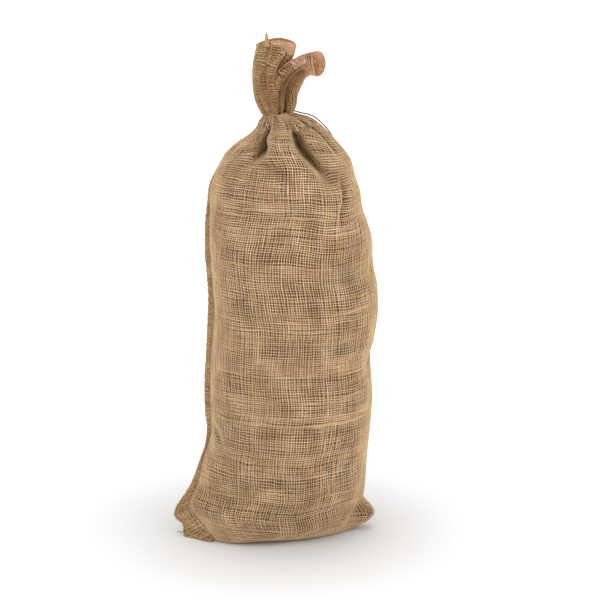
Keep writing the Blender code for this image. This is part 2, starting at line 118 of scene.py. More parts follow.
# The waves in a yarn's thickness, in metres, with their swing in width and in tone.
WIDTH_WAVES = (0.011, 0.027, 0.07)
WIDTH_SWING = 0.08
TONE_SWING = 0.16
# The waves in a yarn's lie: their length in metres, and their swing as a share of the pitch.
STRAY_WAVES = ((0.02, 0.1), (0.045, 0.16), (0.11, 0.2))
# How wide half a yarn is on the cloth map, in pitches.
MAP_HALF = 0.25
# How much darker the bottom of a fold may be painted than the open cloth: painted shade.
MOST_FOLD_SHADE = 2.6

# The shared effect of fibres: patches and stains to a metre, and the middle spread of a noise.
PATCHES_PER_METRE = 46.0
STAINS_PER_METRE = 13.0
NOISE_SPREAD = (0.3, 0.7)
# How far strands, patches and the tone attribute darken and lighten it, and where a stain starts and is full.
STRAND_SWING = (-0.35, 0.35)
PATCH_SWING = (-0.22, 0.22)
TONE_RANGE = (-2.0, 2.0)
TONE_REACH = (-0.55, 0.55)
STAIN_EDGE = (0.5, 0.68)
WHITE = (1.0, 1.0, 1.0, 1.0)

# The worn patches: their seed, how much of the matted fibre is gone, and how close a gone place lies, in mm.
WEAR_SEED = 77
WORN_SHARE = 0.8
WORN_NEAR = 0.2

# The lattices: places are looked up at this step in millimetres, folds finer than this many to the round are
# left out of the wefts' lie, and points nearer than this in metres are one.
PLACE_STEP = 0.5
SOFT_WAVES = 24
SAME_PLACE = 1e-7


class Section(NamedTuple):
    """A level outline of the filled body: two edges, and how far front and back stand proud of their line."""

    z: float
    left: float
    left_y: float
    right: float
    right_y: float
    front: float
    back: float
    fullness: float
    left_edge: float
    right_edge: float


class Trough(NamedTuple):
    """A place on a fold's route: its depth, and its width on the sides of smaller and larger angles."""

    z: float
    angle: float
    depth: float
    before: float
    after: float


class Lip(NamedTuple):
    """A place on a seam: where it leaves the skin, and how far out, back and down its edge lies."""

    z: float
    angle: float
    out: float
    back: float
    drop: float


class LobeRow(NamedTuple):
    """A ring of a mouth lobe: its middle, and its half-widths across and front to back."""

    x: float
    y: float
    z: float
    across: float
    deep: float


class RimPoint(NamedTuple):
    """How far the rim of a lobe stands above its last ring, at an angle round the mouth."""

    angle: float
    rise: float


class Pleat(NamedTuple):
    """A trough along a lobe, deepest halfway between two shares of its length."""

    angle: float
    angle_at_rim: float
    first: float
    last: float
    depth: float
    width: float


class Drift(NamedTuple):
    """How far to the right the warps have moved at a height, in millimetres."""

    z: float
    right: float


class Droop(NamedTuple):
    """A place where the wefts hang low: its height, share of the way round, depth, and widths as shares."""

    z: float
    share: float
    depth: float
    before: float
    after: float


def table(kind: type, *rows: Sequence[float]) -> tuple:
    """Rows of numbers as rows of the given kind."""
    return tuple(kind(*row) for row in rows)


def tables(kind: type, named: dict[str, Sequence[Sequence[float]]]) -> dict[str, tuple]:
    """Tables of one kind, by name."""
    return {name: table(kind, *rows) for name, rows in named.items()}


SECTIONS = table(
    Section,
    (0, -89, -57, 97, -6, 27, 82, 2.3, 1.25, 2.1),
    (6, -95, -53, 101, -4, 40, 84, 2.3, 1.2, 1.8),
    (20, -108, -42, 107, -2, 54, 86, 2.3, 1.2, 1.5),
    (42, -127, -25, 117, 0, 68, 84, 2.3, 1.25, 1.5),
    (70, -117, -19, 121, 2, 76, 84, 2.3, 1.4, 1.7),
    (107, -108, -11, 123, 2, 80, 84, 2.3, 1.7, 1.9),
    (150, -96, -5, 127, 2, 83, 83, 2.3, 1.9, 2),
    (200, -97, -2, 130, 2, 85, 82, 2.2, 2, 2),
    (249, -96, 0, 127, 2, 87, 82, 2.2, 2, 2),
    (283, -93, 0, 132, 2, 87, 84, 2.2, 2, 2),
    (325, -90, 0, 137, 2, 88, 86, 2.2, 2, 2),
    (354, -92, 0, 136, 2, 88, 86, 2.2, 2, 2),
    (388, -94, 0, 130, 2, 87, 86, 2.2, 2, 2),
    (422, -96, 1, 128, 2, 86, 85, 2.2, 2, 2),
    (445, -96, 1, 122, 2, 84, 84, 2.2, 2, 2),
    (468, -95, 1, 114, 2, 81, 82, 2.2, 2, 2),
    (490, -95, 1, 111, 2, 77, 79, 2.1, 2, 2),
    (513, -89, 1, 104, 2, 70, 73, 2, 2, 2),
    (535, -79, 0, 98, 2, 59, 64, 2, 2, 2),
    (546, -72, 0, 91, 2, 53, 58, 2, 2, 2),
    (557, -60, 0, 82, 2, 46, 51, 2, 2, 2),
    (568, -43, 0, 72, 2, 38, 43, 2, 2, 2),
    (580, -31, 0, 60, 2, 29, 32, 2, 2, 2),
    (588, -27, 0, 50, 2, 22, 25, 2, 2, 2),
    (593.5, -23, 0, 42, 1, 18.5, 20, 2, 2, 1.8),
    (597, -20.5, 0, 31, 0, 16.5, 16.5, 2, 2, 1.6),
    (598.4, -18, 0, 23, 0, 15.5, 15.5, 2, 2, 1.8),
    (601.6, -13.5, 0, 17.5, 0, 15.5, 15.5, 2, 2, 2),
)

FOLDS = tables(Trough, {
    "front left pocket": (
        (590, 240, 0, 3, 3), (583, 234, 4, 3, 3), (575, 230, 11, 4, 3.5), (570, 230, 19, 5, 4),
        (565, 234, 28, 7, 5), (559, 241, 38, 10, 6), (552, 244, 38, 11, 6), (546, 243, 24, 11, 6.5),
        (540, 240, 8, 11, 8), (530, 236, 0, 14, 12),
    ),
    "front left pocket's lip": (
        (546, 233, 0, 8, 7), (539, 236, -3, 10, 8), (530, 237, -3, 12, 10), (518, 238, 0, 12, 12),
    ),
    "front right pocket": (
        (592, 275, 0, 3, 3), (586, 275, 5, 3, 3.5), (579, 276, 14, 4, 5), (571, 280, 32, 6, 8),
        (558, 286, 40, 7, 10), (545, 293, 38, 7, 11), (532, 300, 24, 8, 12), (519, 306, 9, 11, 14),
        (500, 311, 0, 12, 16),
    ),
    "front panel": (
        (594, 256, 0, 6, 6), (580, 254, -2.5, 8, 8), (566, 260, -4, 12, 12), (552, 267, -4, 17, 16),
        (534, 270, -2.5, 22, 22), (508, 270, 0, 24, 24),
    ),
    "right shoulder crease": (
        (594, 298, 0, 2, 3), (588, 311, 7, 2.2, 3), (580, 320, 8.5, 2.2, 3), (571, 327, 8.5, 2.2, 3),
        (560, 330, 7, 2.6, 3.6), (549, 331, 4.5, 3, 5), (536, 332, 0, 5, 6),
    ),
    "right side crease": (
        (526, 326, 0, 6, 8), (512, 325, 6, 5, 7), (496, 324, 7.5, 4, 6), (480, 320, 7, 4, 6),
        (462, 315, 4.5, 5, 7), (440, 311, 0, 8, 9),
    ),
    "left shoulder roll": (
        (592, 205, 0, 6, 6), (578, 208, -2, 9, 9), (562, 214, -3, 13, 12), (545, 216, -2, 16, 14),
        (525, 216, 0, 16, 14),
    ),
    "left shoulder crease": (
        (592, 188, 0, 4, 4), (580, 187, 3, 4, 5), (566, 190, 4, 5, 7), (550, 193, 3, 6, 8),
        (532, 194, 0, 7, 8),
    ),
    "right dent, upper": (
        (410, 352, 0, 12, 10), (396, 352, 5, 12, 10), (386, 347, 3, 14, 10), (370, 342, 0, 14, 10),
    ),
    "right dent, lower": (
        (276, 354, 0, 12, 10), (260, 354, 6, 12, 10), (250, 348, 3, 14, 10), (234, 343, 0, 14, 10),
    ),
    "right corner": (
        (46, 0, 0, 9, 9), (38, 0, -10, 10, 10), (30, 1, -20, 11, 11), (22, 2, -27, 11, 11),
        (14, 2, -24, 11, 11), (7, 1, -15, 11, 11), (0, 0, -6, 11, 11),
    ),
    "left seam pucker": (
        (170, 196, 0, 8, 10), (152, 202, 4, 8, 10), (134, 212, 4, 9, 12), (112, 222, 0, 10, 14),
    ),
    "back left fold": (
        (594, 112, 0, 3, 3), (582, 113, 6, 4, 5), (566, 117, 12, 6, 9), (549, 122, 11, 8, 12),
        (528, 128, 5, 10, 14), (502, 132, 0, 12, 16),
    ),
    "back right fold": (
        (594, 62, 0, 3, 3), (582, 62, 7, 5, 4), (568, 65, 14, 9, 6), (552, 69, 14, 12, 7),
        (532, 75, 7, 14, 9), (506, 80, 0, 16, 12),
    ),
    "back middle fold": (
        (592, 88, 0, 3, 3), (580, 89, 4, 4, 4), (566, 91, 5, 5, 5), (550, 94, 3, 6, 7),
        (530, 97, 0, 8, 8),
    ),
    "back seam fold": (
        (592, 150, 0, 4, 4), (580, 151, 4, 4, 5), (566, 154, 6, 6, 7), (550, 158, 4, 8, 8),
        (528, 162, 0, 9, 9),
    ),
    "back shoulder crease": (
        (590, 30, 0, 4, 3), (580, 33, 4, 5, 4), (566, 37, 5, 6, 5), (550, 41, 3, 8, 6),
        (526, 44, 0, 9, 8),
    ),
    "back belly crease": (
        (470, 104, 0, 14, 12), (440, 100, 3, 14, 12), (400, 97, 3.5, 16, 13), (350, 98, 0, 18, 16),
    ),
})

# The folds that are pressed further back than square to the skin, and how far their way leans to the back.
PRESSED_BACK = ("front left pocket", "front right pocket")
BACK_LEAN = (0.0, 0.8)

SIDE_SEAM = table(
    Lip,
    (590, 147, 2, 2, -1), (580, 148, 3, 4, -2), (566, 151, 3, 5, -3), (550, 154, 1, 6, -2),
    (532, 159, 1, 7, -1), (514, 166, 1, 7, 0), (494, 173, 2, 6, 0), (470, 178, 4, 4, 0),
    (440, 180, 6, 4, 0), (405, 180, 7, 3, 0), (370, 180, 7, 4, 0), (336, 180, 8, 3, 0),
    (308, 180, 9, 4, 0), (281, 180, 8, 3, 0), (253, 180, 7, 4, 0), (225, 180, 8, 3, 0),
    (196, 180, 8, 5, 0), (170, 180, 8, 5, 0), (150, 180, 6, 6, 0), (128, 180, 3, 7, 0),
    (105, 180, 3, 8, 1), (86, 180, 6, 7, 2), (70, 180, 10, 4, 3), (56, 180, 15, 1, 5),
    (46, 180, 20, -1, 8), (41, 180, 22, -2, 12), (35, 180, 19, 0, 14), (28, 180, 20, 4, 12),
    (20, 180, 27, 5, 18.5), (13, 180, 19, 1, 12), (7, 180, 12, -3, 5.4), (3.4, 180, 6, -6, 1.8),
    (2.2, 180, 4, -6, 0.6),
)
LEFT_LOBE = table(
    LobeRow,
    (-4, 0, 598.5, 10.5, 14.6), (-6, 0.2, 601.5, 12.5, 14.8), (-9, 0.8, 605, 15, 15.6),
    (-11.5, 1, 613, 17.5, 17), (-14, 1, 625, 19.5, 18), (-15, 1, 640, 20.5, 18.5),
    (-14, 1, 655, 22, 19.5), (-12, 1, 668, 22.5, 20), (-8, 2, 680, 23.5, 20), (-4, 2, 691, 25.5, 20),
    (-3, 2, 702, 26.5, 20),
)
RIGHT_LOBE = table(
    LobeRow,
    (6, 0, 598.5, 10.5, 14.6), (6.5, -0.4, 601.5, 11, 14.6), (7, -1.5, 605, 13, 14.9),
    (8, -3, 615, 16, 16), (8, -5, 628, 17.5, 15), (11, -8, 641, 18.5, 14), (18, -11, 653, 17.5, 13.5),
    (29, -12, 663, 14.5, 13), (41, -13.5, 669, 14, 13.5), (54, -18.5, 671, 16.5, 16),
)
LEFT_RIM = table(
    RimPoint,
    (0, -9), (20, -5.5), (45, -3.2), (80, -2), (105, -4), (125, -8), (160, -11), (180, -10.5), (205, -7),
    (225, -3), (240, -1), (252, -2), (262, -6), (285, -6), (300, -8), (310, -14), (320, -19), (332, -19),
    (344, -14), (353, -10), (360, -9),
)
RIGHT_RIM = table(
    RimPoint,
    (0, -3), (45, 1), (90, 3), (140, 2), (180, -1), (215, -4), (250, -3), (290, -2), (325, -4), (360, -3),
)
LEFT_PLEATS = table(
    Pleat,
    (266, 252, -0.2, 1.3, 3.6, 2.4),
    (275, 272, 0.4, 1.7, -3, 9),
    (303, 310, 0.25, 1.5, 4, 3.5),
    (232, 228, -0.2, 0.5, 2.5, 2.2),
    (200, 195, -0.2, 0.45, 2, 2.6),
    (125, 125, 0, 0.9, 6, 2.5),
    (75, 75, 0, 0.8, 6, 2.5),
)
RIGHT_PLEATS = table(
    Pleat,
    (228, 247, -0.25, 0.74, 16, 3.3),
    (277, 292, -0.3, 0.86, 20, 3.8),
    (266, 272, 0.3, 0.86, 5, 8),
    (258, 242, 0.6, 0.79, 8, 1.8),
    (207, 205, 0.2, 1.2, -3.5, 5),
    (20, 20, 0, 0.7, 5, 2.4),
    (95, 95, 0, 0.9, 6, 2.6),
    (140, 140, 0, 0.6, 4, 3),
)

# How far the warps lie to the right of the middle line, by height, in millimetres.
WARP_DRIFT = table(
    Drift,
    (0, 6), (28, 8), (63, 10), (98, 5), (133, 0), (170, 0), (205, 3), (240, 2), (275, -1), (310, -4),
    (345, -8), (380, -9), (415, -8), (450, 1), (485, 11), (520, 10), (560, 3), (602, 0),
)

# Where the wefts hang lower than elsewhere.
WEFT_DROOPS = tables(Droop, {
    "below the right pocket": (
        (575, 0.36, 0, 0.065, 0.10), (530, 0.36, 5, 0.065, 0.10), (490, 0.36, 9, 0.065, 0.10),
        (436, 0.36, 10, 0.065, 0.10), (400, 0.36, 5, 0.065, 0.10), (365, 0.36, 0, 0.065, 0.10),
    ),
    "front of the base": (
        (215, 0.275, 0, 0.07, 0.06), (160, 0.275, 2.5, 0.07, 0.06), (110, 0.27, 5.5, 0.07, 0.06),
        (50, 0.27, 6, 0.07, 0.06), (8, 0.27, 5, 0.07, 0.06), (0, 0.27, 4, 0.07, 0.06),
    ),
})

# The twine's free end, from the knot over the back of the right shoulder and down: x, y, z.
FREE_END_ROUTE = (
    (17.8, 16.4, 600.3),
    (20.5, 16.8, 600.5),
    (25, 16.5, 599.2),
    (32, 16, 597.4),
    (40, 16, 595.8),
    (47, 16, 592.8),
    (53, 16.5, 588.6),
    (61, 17, 580.8),
    (68, 18, 572.5),
    (73, 21, 564),
    (76, 27, 555),
    (78, 34.5, 546),
    (80, 42.5, 535),
    (79.5, 51, 522),
    (77.5, 59, 508),
    (75, 66.5, 493),
    (71, 73, 475.5),
    (69, 77, 459),
)


def smooth(keys: Array, values: Array, at: Array) -> Array:
    """Read a column on a curve that never overshoots its own rows.

    Args:
        keys: Places of the rows, rising.
        values: The column's value at each row.
        at: Places to read.

    Returns:
        The values there.
    """
    keys = np.asarray(keys, dtype=float)
    values = np.asarray(values, dtype=float)
    at = np.asarray(at, dtype=float)
    steps = np.diff(values) / np.diff(keys)
    slopes = np.zeros(len(keys))
    same_way = steps[:-1] * steps[1:] > 0.0
    slopes[1:-1][same_way] = 2.0 * (steps[:-1] * steps[1:])[same_way] / (steps[:-1] + steps[1:])[same_way]
    slopes[0], slopes[-1] = steps[0], steps[-1]
    i = np.clip(np.searchsorted(keys, at) - 1, 0, len(keys) - 2)
    span = keys[i + 1] - keys[i]
    t = np.clip((at - keys[i]) / span, 0.0, 1.0)
    rise = t * t * (3.0 - 2.0 * t)
    leave = t * (1.0 - t) ** 2 * span
    arrive = t * t * (t - 1.0) * span
    return (1.0 - rise) * values[i] + rise * values[i + 1] + leave * slopes[i] + arrive * slopes[i + 1]


def read_table(rows: Sequence[NamedTuple], at: Array) -> NamedTuple:
    """Read every column of a table smoothly at values of its first column.

    Args:
        rows: The table, its first column rising or falling.
        at: Values of the first column.

    Returns:
        A row whose columns are arrays.
    """
    columns = [np.array(column, dtype=float) for column in zip(*rows)]
    way = 1.0 if columns[0][-1] > columns[0][0] else -1.0
    return type(rows[0])(*[smooth(way * columns[0], column, way * np.asarray(at)) for column in columns])


def running(steps: Array) -> Array:
    """The sum of a row of steps before each, and after the last."""
    return np.concatenate([[0.0], np.cumsum(steps)])


def travelled(points: Array) -> Array:
    """How far along a polyline each of its points lies from its first."""
    return running(np.linalg.norm(np.diff(points, axis=0), axis=1))


def smooth_line(keys: Array, points: Array, at: Array) -> Array:
    """Read every column of a line of points smoothly, at places among its keys."""
    return np.column_stack([smooth(keys, column, at) for column in points.T])


def even_fractions(points: Array, count: int) -> Array:
    """Share points out evenly along a polyline.

    Args:
        points: Points along the line, by x, y and z, and whatever else they carry.
        count: How many points to return, both ends included.

    Returns:
        The new points.
    """
    travel = travelled(points[:, :3])
    places = np.linspace(0.0, travel[-1], count)
    return np.column_stack([np.interp(places, travel, points[:, axis]) for axis in range(points.shape[1])])


def unit(vectors: Array) -> Array:
    """Scale vectors to a length of one."""
    return vectors / np.maximum(np.linalg.norm(vectors, axis=-1, keepdims=True), 1e-12)


@dataclass
class ClothSurface:
    """A tube of cloth as a lattice of points: each row goes once round, and the rows follow the cloth up.

    Attributes:
        points: Rows by columns by x, y and z, in metres.
        hollow: How deep in a fold each point lies.
        slack: How far each row follows its own columns' lengths, from 0 to 1, instead of their mean.
    """

    points: Array
    hollow: Array
    slack: Array | None = None

    def __post_init__(self) -> None:
        """Measure the tube and find its outward normals."""
        ahead = np.roll(self.points, -1, axis=1) - np.roll(self.points, 1, axis=1)
        up = np.gradient(self.points, axis=0)
        self.normals = unit(np.cross(ahead, up))
        along_row = unit(ahead[1:] + ahead[:-1])
        steps = np.diff(self.points, axis=0)
        steps = np.linalg.norm(steps - (steps * along_row).sum(axis=2, keepdims=True) * along_row, axis=2)
        self.levels = self.points[:, :, 2].mean(axis=1)
        self.rise = running(steps.mean(axis=1))
        self.girths = np.linalg.norm(np.roll(self.points, -1, axis=1) - self.points, axis=2).sum(axis=1)
        rows, columns = self.points.shape[:2]
        if self.slack is None:
            self.slack = np.zeros(rows)
        soft = np.fft.fft(steps - steps.mean(axis=1, keepdims=True), axis=1)
        soft[:, SOFT_WAVES + 1 : columns - SOFT_WAVES] = 0.0
        own = np.concatenate([np.zeros((1, columns)), np.cumsum(np.fft.ifft(soft, axis=1).real, axis=0)])
        held = np.maximum.accumulate(np.where(self.slack <= 0.0, np.arange(rows), 0))
        own = self.rise[:, None] + (own - own[held]) * self.slack[:, None]
        own = np.maximum.accumulate(own + np.arange(rows)[:, None] * SAME_PLACE, axis=0)
        self.places = np.arange(0.0, self.rise[-1], PLACE_STEP * MM)
        self.row_at = np.column_stack([np.interp(self.places, column, np.arange(rows)) for column in own.T])

    @property
    def length(self) -> float:
        """The cloth's mean length from the first row to the last."""
        return float(self.rise[-1])

    def level(self, along: Array) -> Array:
        """The mean height of the row at places along the tube, in millimetres."""
        return np.interp(along, self.rise, self.levels) / MM

    def at(self, across: Array, along: Array, lift: Array | float) -> tuple[Array, Array]:
        """Find places on the cloth.

        Args:
            across: Share of the way round, from 0 to 1.
            along: Metres up the cloth, which may run past either end.
            lift: Metres off the surface, outward.

        Returns:
            Points in metres, and how deep in a fold each lies, in millimetres.
        """
        rows, columns = self.points.shape[:2]
        column = np.mod(across, 1.0) * columns
        left = np.floor(column).astype(int) % columns
        right = (left + 1) % columns
        over = (column - np.floor(column))[..., None]
        place = np.clip(along / (PLACE_STEP * MM), 0.0, len(self.places) - 1.001)
        step = place.astype(int)
        row = self.row_at[step, left] * (1.0 - place + step) + self.row_at[step + 1, left] * (place - step)
        last = self.rise[-1] - self.rise[-2]
        row = row + np.maximum(along - self.places[-1], 0.0) / last
        low = np.clip(np.floor(row).astype(int), 0, rows - 2)
        up = (row - low)[..., None]

        def blend(grid: Array) -> Array:
            """Mix the four lattice points round each place."""
            below = grid[low, left] * (1.0 - over) + grid[low, right] * over
            above = grid[low + 1, left] * (1.0 - over) + grid[low + 1, right] * over
            return below * (1.0 - up) + above * up

        places = blend(self.points) + unit(blend(self.normals)) * np.asarray(lift)[..., None]
        return places, blend(self.hollow[..., None])[..., 0]


class Waves:
    """A smooth, seeded disturbance over the cloth, made of a few sine waves that close round it."""

    def __init__(self, seed: int, size: float, turns: tuple[int, int], length: Pair, count: int) -> None:
        """Draw the waves.

        Args:
            seed: Seed of the draw.
            size: About the largest value, in the caller's own unit.
            turns: Fewest and most waves round the cloth.
            length: Shortest and longest wave along the cloth, in metres.
            count: Number of waves.
        """
        draw = np.random.default_rng(seed)
        self.turns = draw.integers(turns[0], turns[1] + 1, count)
        self.rates = 1.0 / draw.uniform(length[0], length[1], count) * draw.choice((-1.0, 1.0), count)
        self.phases = draw.uniform(0.0, 1.0, count)
        self.sizes = draw.uniform(0.5, 1.0, count)
        self.sizes *= size / np.sqrt((self.sizes**2).sum())

    def at(self, across: Array, along: Array) -> Array:
        """Read the disturbance.

        Args:
            across: Share of the way round.
            along: Metres along the cloth.

        Returns:
            The value at each place.
        """
        total = np.zeros(np.broadcast(across, along).shape)
        for turns, rate, phase, size in zip(self.turns, self.rates, self.phases, self.sizes):
            total += size * np.sin(2.0 * math.pi * (turns * across + rate * along + phase))
        return total


@dataclass
class FilledBody:
    """The shape of the filled cloth, from the seam under its base up to the tie.

    Attributes:
        girth: The cloth's own length round the sack.
        even_spare: How much of the spare cloth lies outside the folds.
        neck_spare: Two heights under the tie, and how many times more does at each.
        columns: Lattice points round the body.
        step: Height between the lattice's rows.
        turn_step: Degrees between the points that a row is worked out from.
        base_rows: Rows on the underside.
        base_clear: Height of the underside over the floor.
        gathers: How many coarse and fine gathers the tie draws in.
        gather_size: How deep the gathers are at the neck.
        gather_from: The height where they start.
        pinch: How far the tie presses them flat, as a share.
        pinch_from: The height where it starts to, and over how much height.
        lifted: How far the front of the base stands off the floor.
        lifted_at: Where that is, as x and y.
        lifted_reach: How far it reaches across, back and up.
        slack: Heights, and how far the wefts follow the folds at each.
    """

    girth: float = WARP_PITCH * WARP_COUNT
    even_spare: float = 0.3
    neck_spare: Curve = ((555.0, 592.0), (1.0, 12.0))
    columns: int = 1200
    step: float = 1.5
    turn_step: float = 0.25
    base_rows: int = 14
    base_clear: float = 0.7
    gathers: Pair = (19.0, 31.0)
    gather_size: float = 2.4
    gather_from: float = 535.0
    pinch: float = 0.65
    pinch_from: Pair = (590.0, 7.0)
    lifted: float = 3.0
    lifted_at: Pair = (-22.0, -20.0)
    lifted_reach: Triple = (36.0, 30.0, 12.0)
    slack: Curve = (
        (3.0, 4.0, 60.0, 190.0, 490.0, 530.0, 575.0, 596.0),
        (0, 0.7, 0.7, 0, 0, 1, 1, 0),
    )

    def outline(self, section: Section, degrees: Array) -> Array:
        """Points of a section at the given angles, before any fold, as (x, y) rows in millimetres."""
        angle = np.radians(degrees)
        along = np.cos(angle)
        middle = (section.left + section.right) / 2.0
        half = (section.right - section.left) / 2.0
        line = section.left_y + (section.right_y - section.left_y) * (along + 1.0) / 2.0
        edge = np.where(along < 0.0, section.left_edge, section.right_edge)
        proud = (1.0 - np.minimum(np.abs(along), 1.0) ** section.fullness) ** (1.0 / edge)
        depth = np.where(np.sin(angle) < 0.0, -section.front, section.back)
        return np.column_stack([middle + half * along, line + depth * proud])

    def folded_outline(self, z: float, degrees: Array) -> tuple[Array, Array]:
        """The outline at a height with its folds pressed in.

        Args:
            z: Height in millimetres.
            degrees: Rising angles, once round.

        Returns:
            (x, y) rows in millimetres, and how deep in a fold each lies.
        """
        points = self.outline(read_table(SECTIONS, z), degrees)
        tangent = np.roll(points, -1, axis=0) - np.roll(points, 1, axis=0)
        inward = unit(np.column_stack([-tangent[:, 1], tangent[:, 0]]))
        travel = travelled(points)
        girth = travel[-1] + np.linalg.norm(points[0] - points[-1])
        depth, straight = np.zeros(len(points)), np.zeros(len(points))
        for name, route in FOLDS.items():
            if route[-1].z <= z <= route[0].z:
                trough = read_table(route, z)
                start = degrees[0]
                place = np.interp((trough.angle - start) % 360.0 + start, degrees, travel, right=girth)
                distance = (travel - place + girth / 2.0) % girth - girth / 2.0
                width = np.where(distance < 0.0, trough.before, trough.after)
                pressed = straight if name in PRESSED_BACK else depth
                pressed += trough.depth * np.exp(-((distance / width) ** 2))
        depth += self.gather(z, degrees)
        moved = points + inward * depth[:, None] + unit(inward + BACK_LEAN) * straight[:, None]
        return moved, np.maximum(depth + straight, 0.0)

    def gather(self, z: float, degrees: Array) -> Array:
        """How deep the fine gathers are that the tie draws in, in millimetres."""
        share = max(0.0, (z - self.gather_from) / (TIE_HEIGHT - self.gather_from)) ** 2
        coarse, fine = self.gathers
        turns = np.radians(degrees)
        ripple = np.sin(coarse * turns + 1.1 * np.sin(3.0 * turns)) + 0.6 * np.sin(fine * turns + 2.0)
        pinched = np.clip((z - self.pinch_from[0]) / self.pinch_from[1], 0.0, 1.0)
        return self.gather_size * share * ripple * (1.0 - self.pinch * pinched)

    def skin_point(self, z: float, angle: float) -> Array:
        """The point of the folded body at a height and an angle, in millimetres."""
        x, y = self.folded_outline(z, np.arange(0.0, 360.0))[0][int(angle) % 360]
        return np.array([x, y, z])

    def ring(self, z: float) -> Array:
        """The outline at a height as x, y, z and depth in a fold, with the spare cloth lying in the folds."""
        degrees = 180.0 + np.arange(0.0, 360.0, self.turn_step)
        points, pressed = self.folded_outline(z, degrees)
        points = np.vstack([points, points[:1]])
        pressed = np.append(pressed, pressed[0])
        panel = FOLDS["front panel"]
        front = float(read_table(panel, min(max(z, panel[-1].z), panel[0].z)).angle)
        stops = [round((angle - 180.0) / self.turn_step) for angle in (180.0, front, 360.0, 450.0, 540.0)]
        quarters = []
        for first, last in zip(stops[:-1], stops[1:]):
            line, deep = points[first : last + 1], pressed[first : last + 1]
            steps = np.linalg.norm(np.diff(line, axis=0), axis=1)
            travel = running(steps)
            spare = self.even_spare * np.interp(z, *self.neck_spare) + deep
            hidden = running(steps * (spare[:-1] + spare[1:]) / 2.0)
            travel += hidden / hidden[-1] * max(self.girth / 4.0 - travel[-1], 0.0)
            places = np.linspace(0.0, travel[-1], self.columns // 4 + 1)[:-1]
            rows = np.column_stack([line, np.full(len(line), z), deep])
            quarters.append(np.column_stack([np.interp(places, travel, column) for column in rows.T]))
        return np.vstack(quarters)

    def surface(self) -> ClothSurface:
        """The whole body as a lattice in metres, from the bottom seam to the tie."""
        heights = np.arange(0.0, SECTIONS[-1].z, self.step)
        rings = [self.ring(float(z)) for z in np.append(heights, SECTIONS[-1].z)]
        foot = rings[0]
        left, right = foot[0], foot[self.columns // 2]
        seam_y = left[1] + (foot[:, 0] - left[0]) * (right[1] - left[1]) / (right[0] - left[0])
        under = []
        for share in np.linspace(0.0, 1.0, self.base_rows, endpoint=False):
            flat = foot.copy()
            flat[:, 1] = seam_y + (foot[:, 1] - seam_y) * share
            under.append(flat)
        rings = np.array(under + rings)
        points = rings[:, :, :3]
        points[:, :, 2] = np.maximum(points[:, :, 2], self.base_clear)
        across, back, up = self.lifted_reach
        near = np.exp(-(((points[:, :, 0] - self.lifted_at[0]) / across) ** 2) - points[:, :, 2] / up)
        ahead = np.clip((self.lifted_at[1] - points[:, :, 1]) / back, 0.0, 1.0)
        points[:, :, 2] += self.lifted * near * ahead
        slack = np.interp(points[:, :, 2].mean(axis=1), *self.slack)
        return ClothSurface(points * MM, rings[:, :, 3], slack)


@dataclass(frozen=True)
class YarnSet:
    """The look and the lie of one set of yarns, warp or weft.

    Attributes:
        seed: Seed of its uneven spacing, slubs and tones.
        width: Mean width of a yarn.
        uneven: How much the width of one yarn differs from the next, as a share.
        wander: How far a yarn strays from its place, as a share of what the weave allows.
        slub: How much a slub widens a yarn, as a share.
        slubs: How many places on a yarn may have a slub.
    """

    seed: int
    width: float
    uneven: float
    wander: float
    slub: float
    slubs: int


def add_object(name: str, data: bpy.types.ID) -> Piece:
    """Put a mesh, a light or a camera into the scene as an object."""
    made = bpy.data.objects.new(name, data)
    bpy.context.scene.collection.objects.link(made)
    return made


def grid_mesh(name: str, columns: int, rows: int, gap_every: int = 0) -> bpy.types.Mesh:
    """Make a grid of faces, whose points are placed afterwards.

    Args:
        name: The mesh's name.
        columns: Points along each row.
        rows: Number of rows.
        gap_every: Which columns of faces are taken out, such as every third, or 0 for none.

    Returns:
        The mesh, its points row by row.
    """
    work = bmesh.new()
    bmesh.ops.create_grid(work, x_segments=columns - 1, y_segments=rows - 1, size=1.0)
    if gap_every:
        last = gap_every - 1
        gaps = [face for i, face in enumerate(work.faces) if i % (columns - 1) % gap_every == last]
        bmesh.ops.delete(work, geom=gaps, context="FACES")
    mesh = bpy.data.meshes.new(name)
    work.to_mesh(mesh)
    work.free()
    return mesh


def finish_mesh(mesh: bpy.types.Mesh, tones: Array, maps: Array) -> None:
    """Store a mesh's tone attribute and its cloth UV map, and shade it smooth.

    Args:
        mesh: The mesh, its points in place.
        tones: One value for each point.
        maps: One UV place for each point.
    """
    tone = mesh.attributes.new(TONE, "FLOAT", "POINT")
    tone.data.foreach_set("value", tones.astype(np.float32).ravel())
    corners = np.zeros(len(mesh.loops), dtype=np.int32)
    mesh.loops.foreach_get("vertex_index", corners)
    layer = mesh.uv_layers.new(name=CLOTH_MAP)
    layer.data.foreach_set("uv", maps[corners].astype(np.float32).ravel())
    mesh.shade_smooth()
    mesh.update()


def woven(name: str, places: Array, tones: Array, maps: Array) -> Piece:
    """Make a set of yarns as ribbons, from one grid with its gap columns taken out.

    Args:
        name: The piece's name.
        places: Points in metres, by yarn, by place along it, by the points across it.
        tones: How light or dark each point is.
        maps: UV places of each point, in metres of cloth.

    Returns:
        The piece.
    """
    yarns, along, across = places.shape[:3]
    mesh = grid_mesh(name, yarns * across, along, gap_every=across)
    mesh.vertices.foreach_set("co", places.transpose(1, 0, 2, 3).ravel())
    finish_mesh(mesh, tones.transpose(1, 0, 2).ravel(), maps.transpose(1, 0, 2, 3).reshape(-1, 2))
    return add_object(name, mesh)


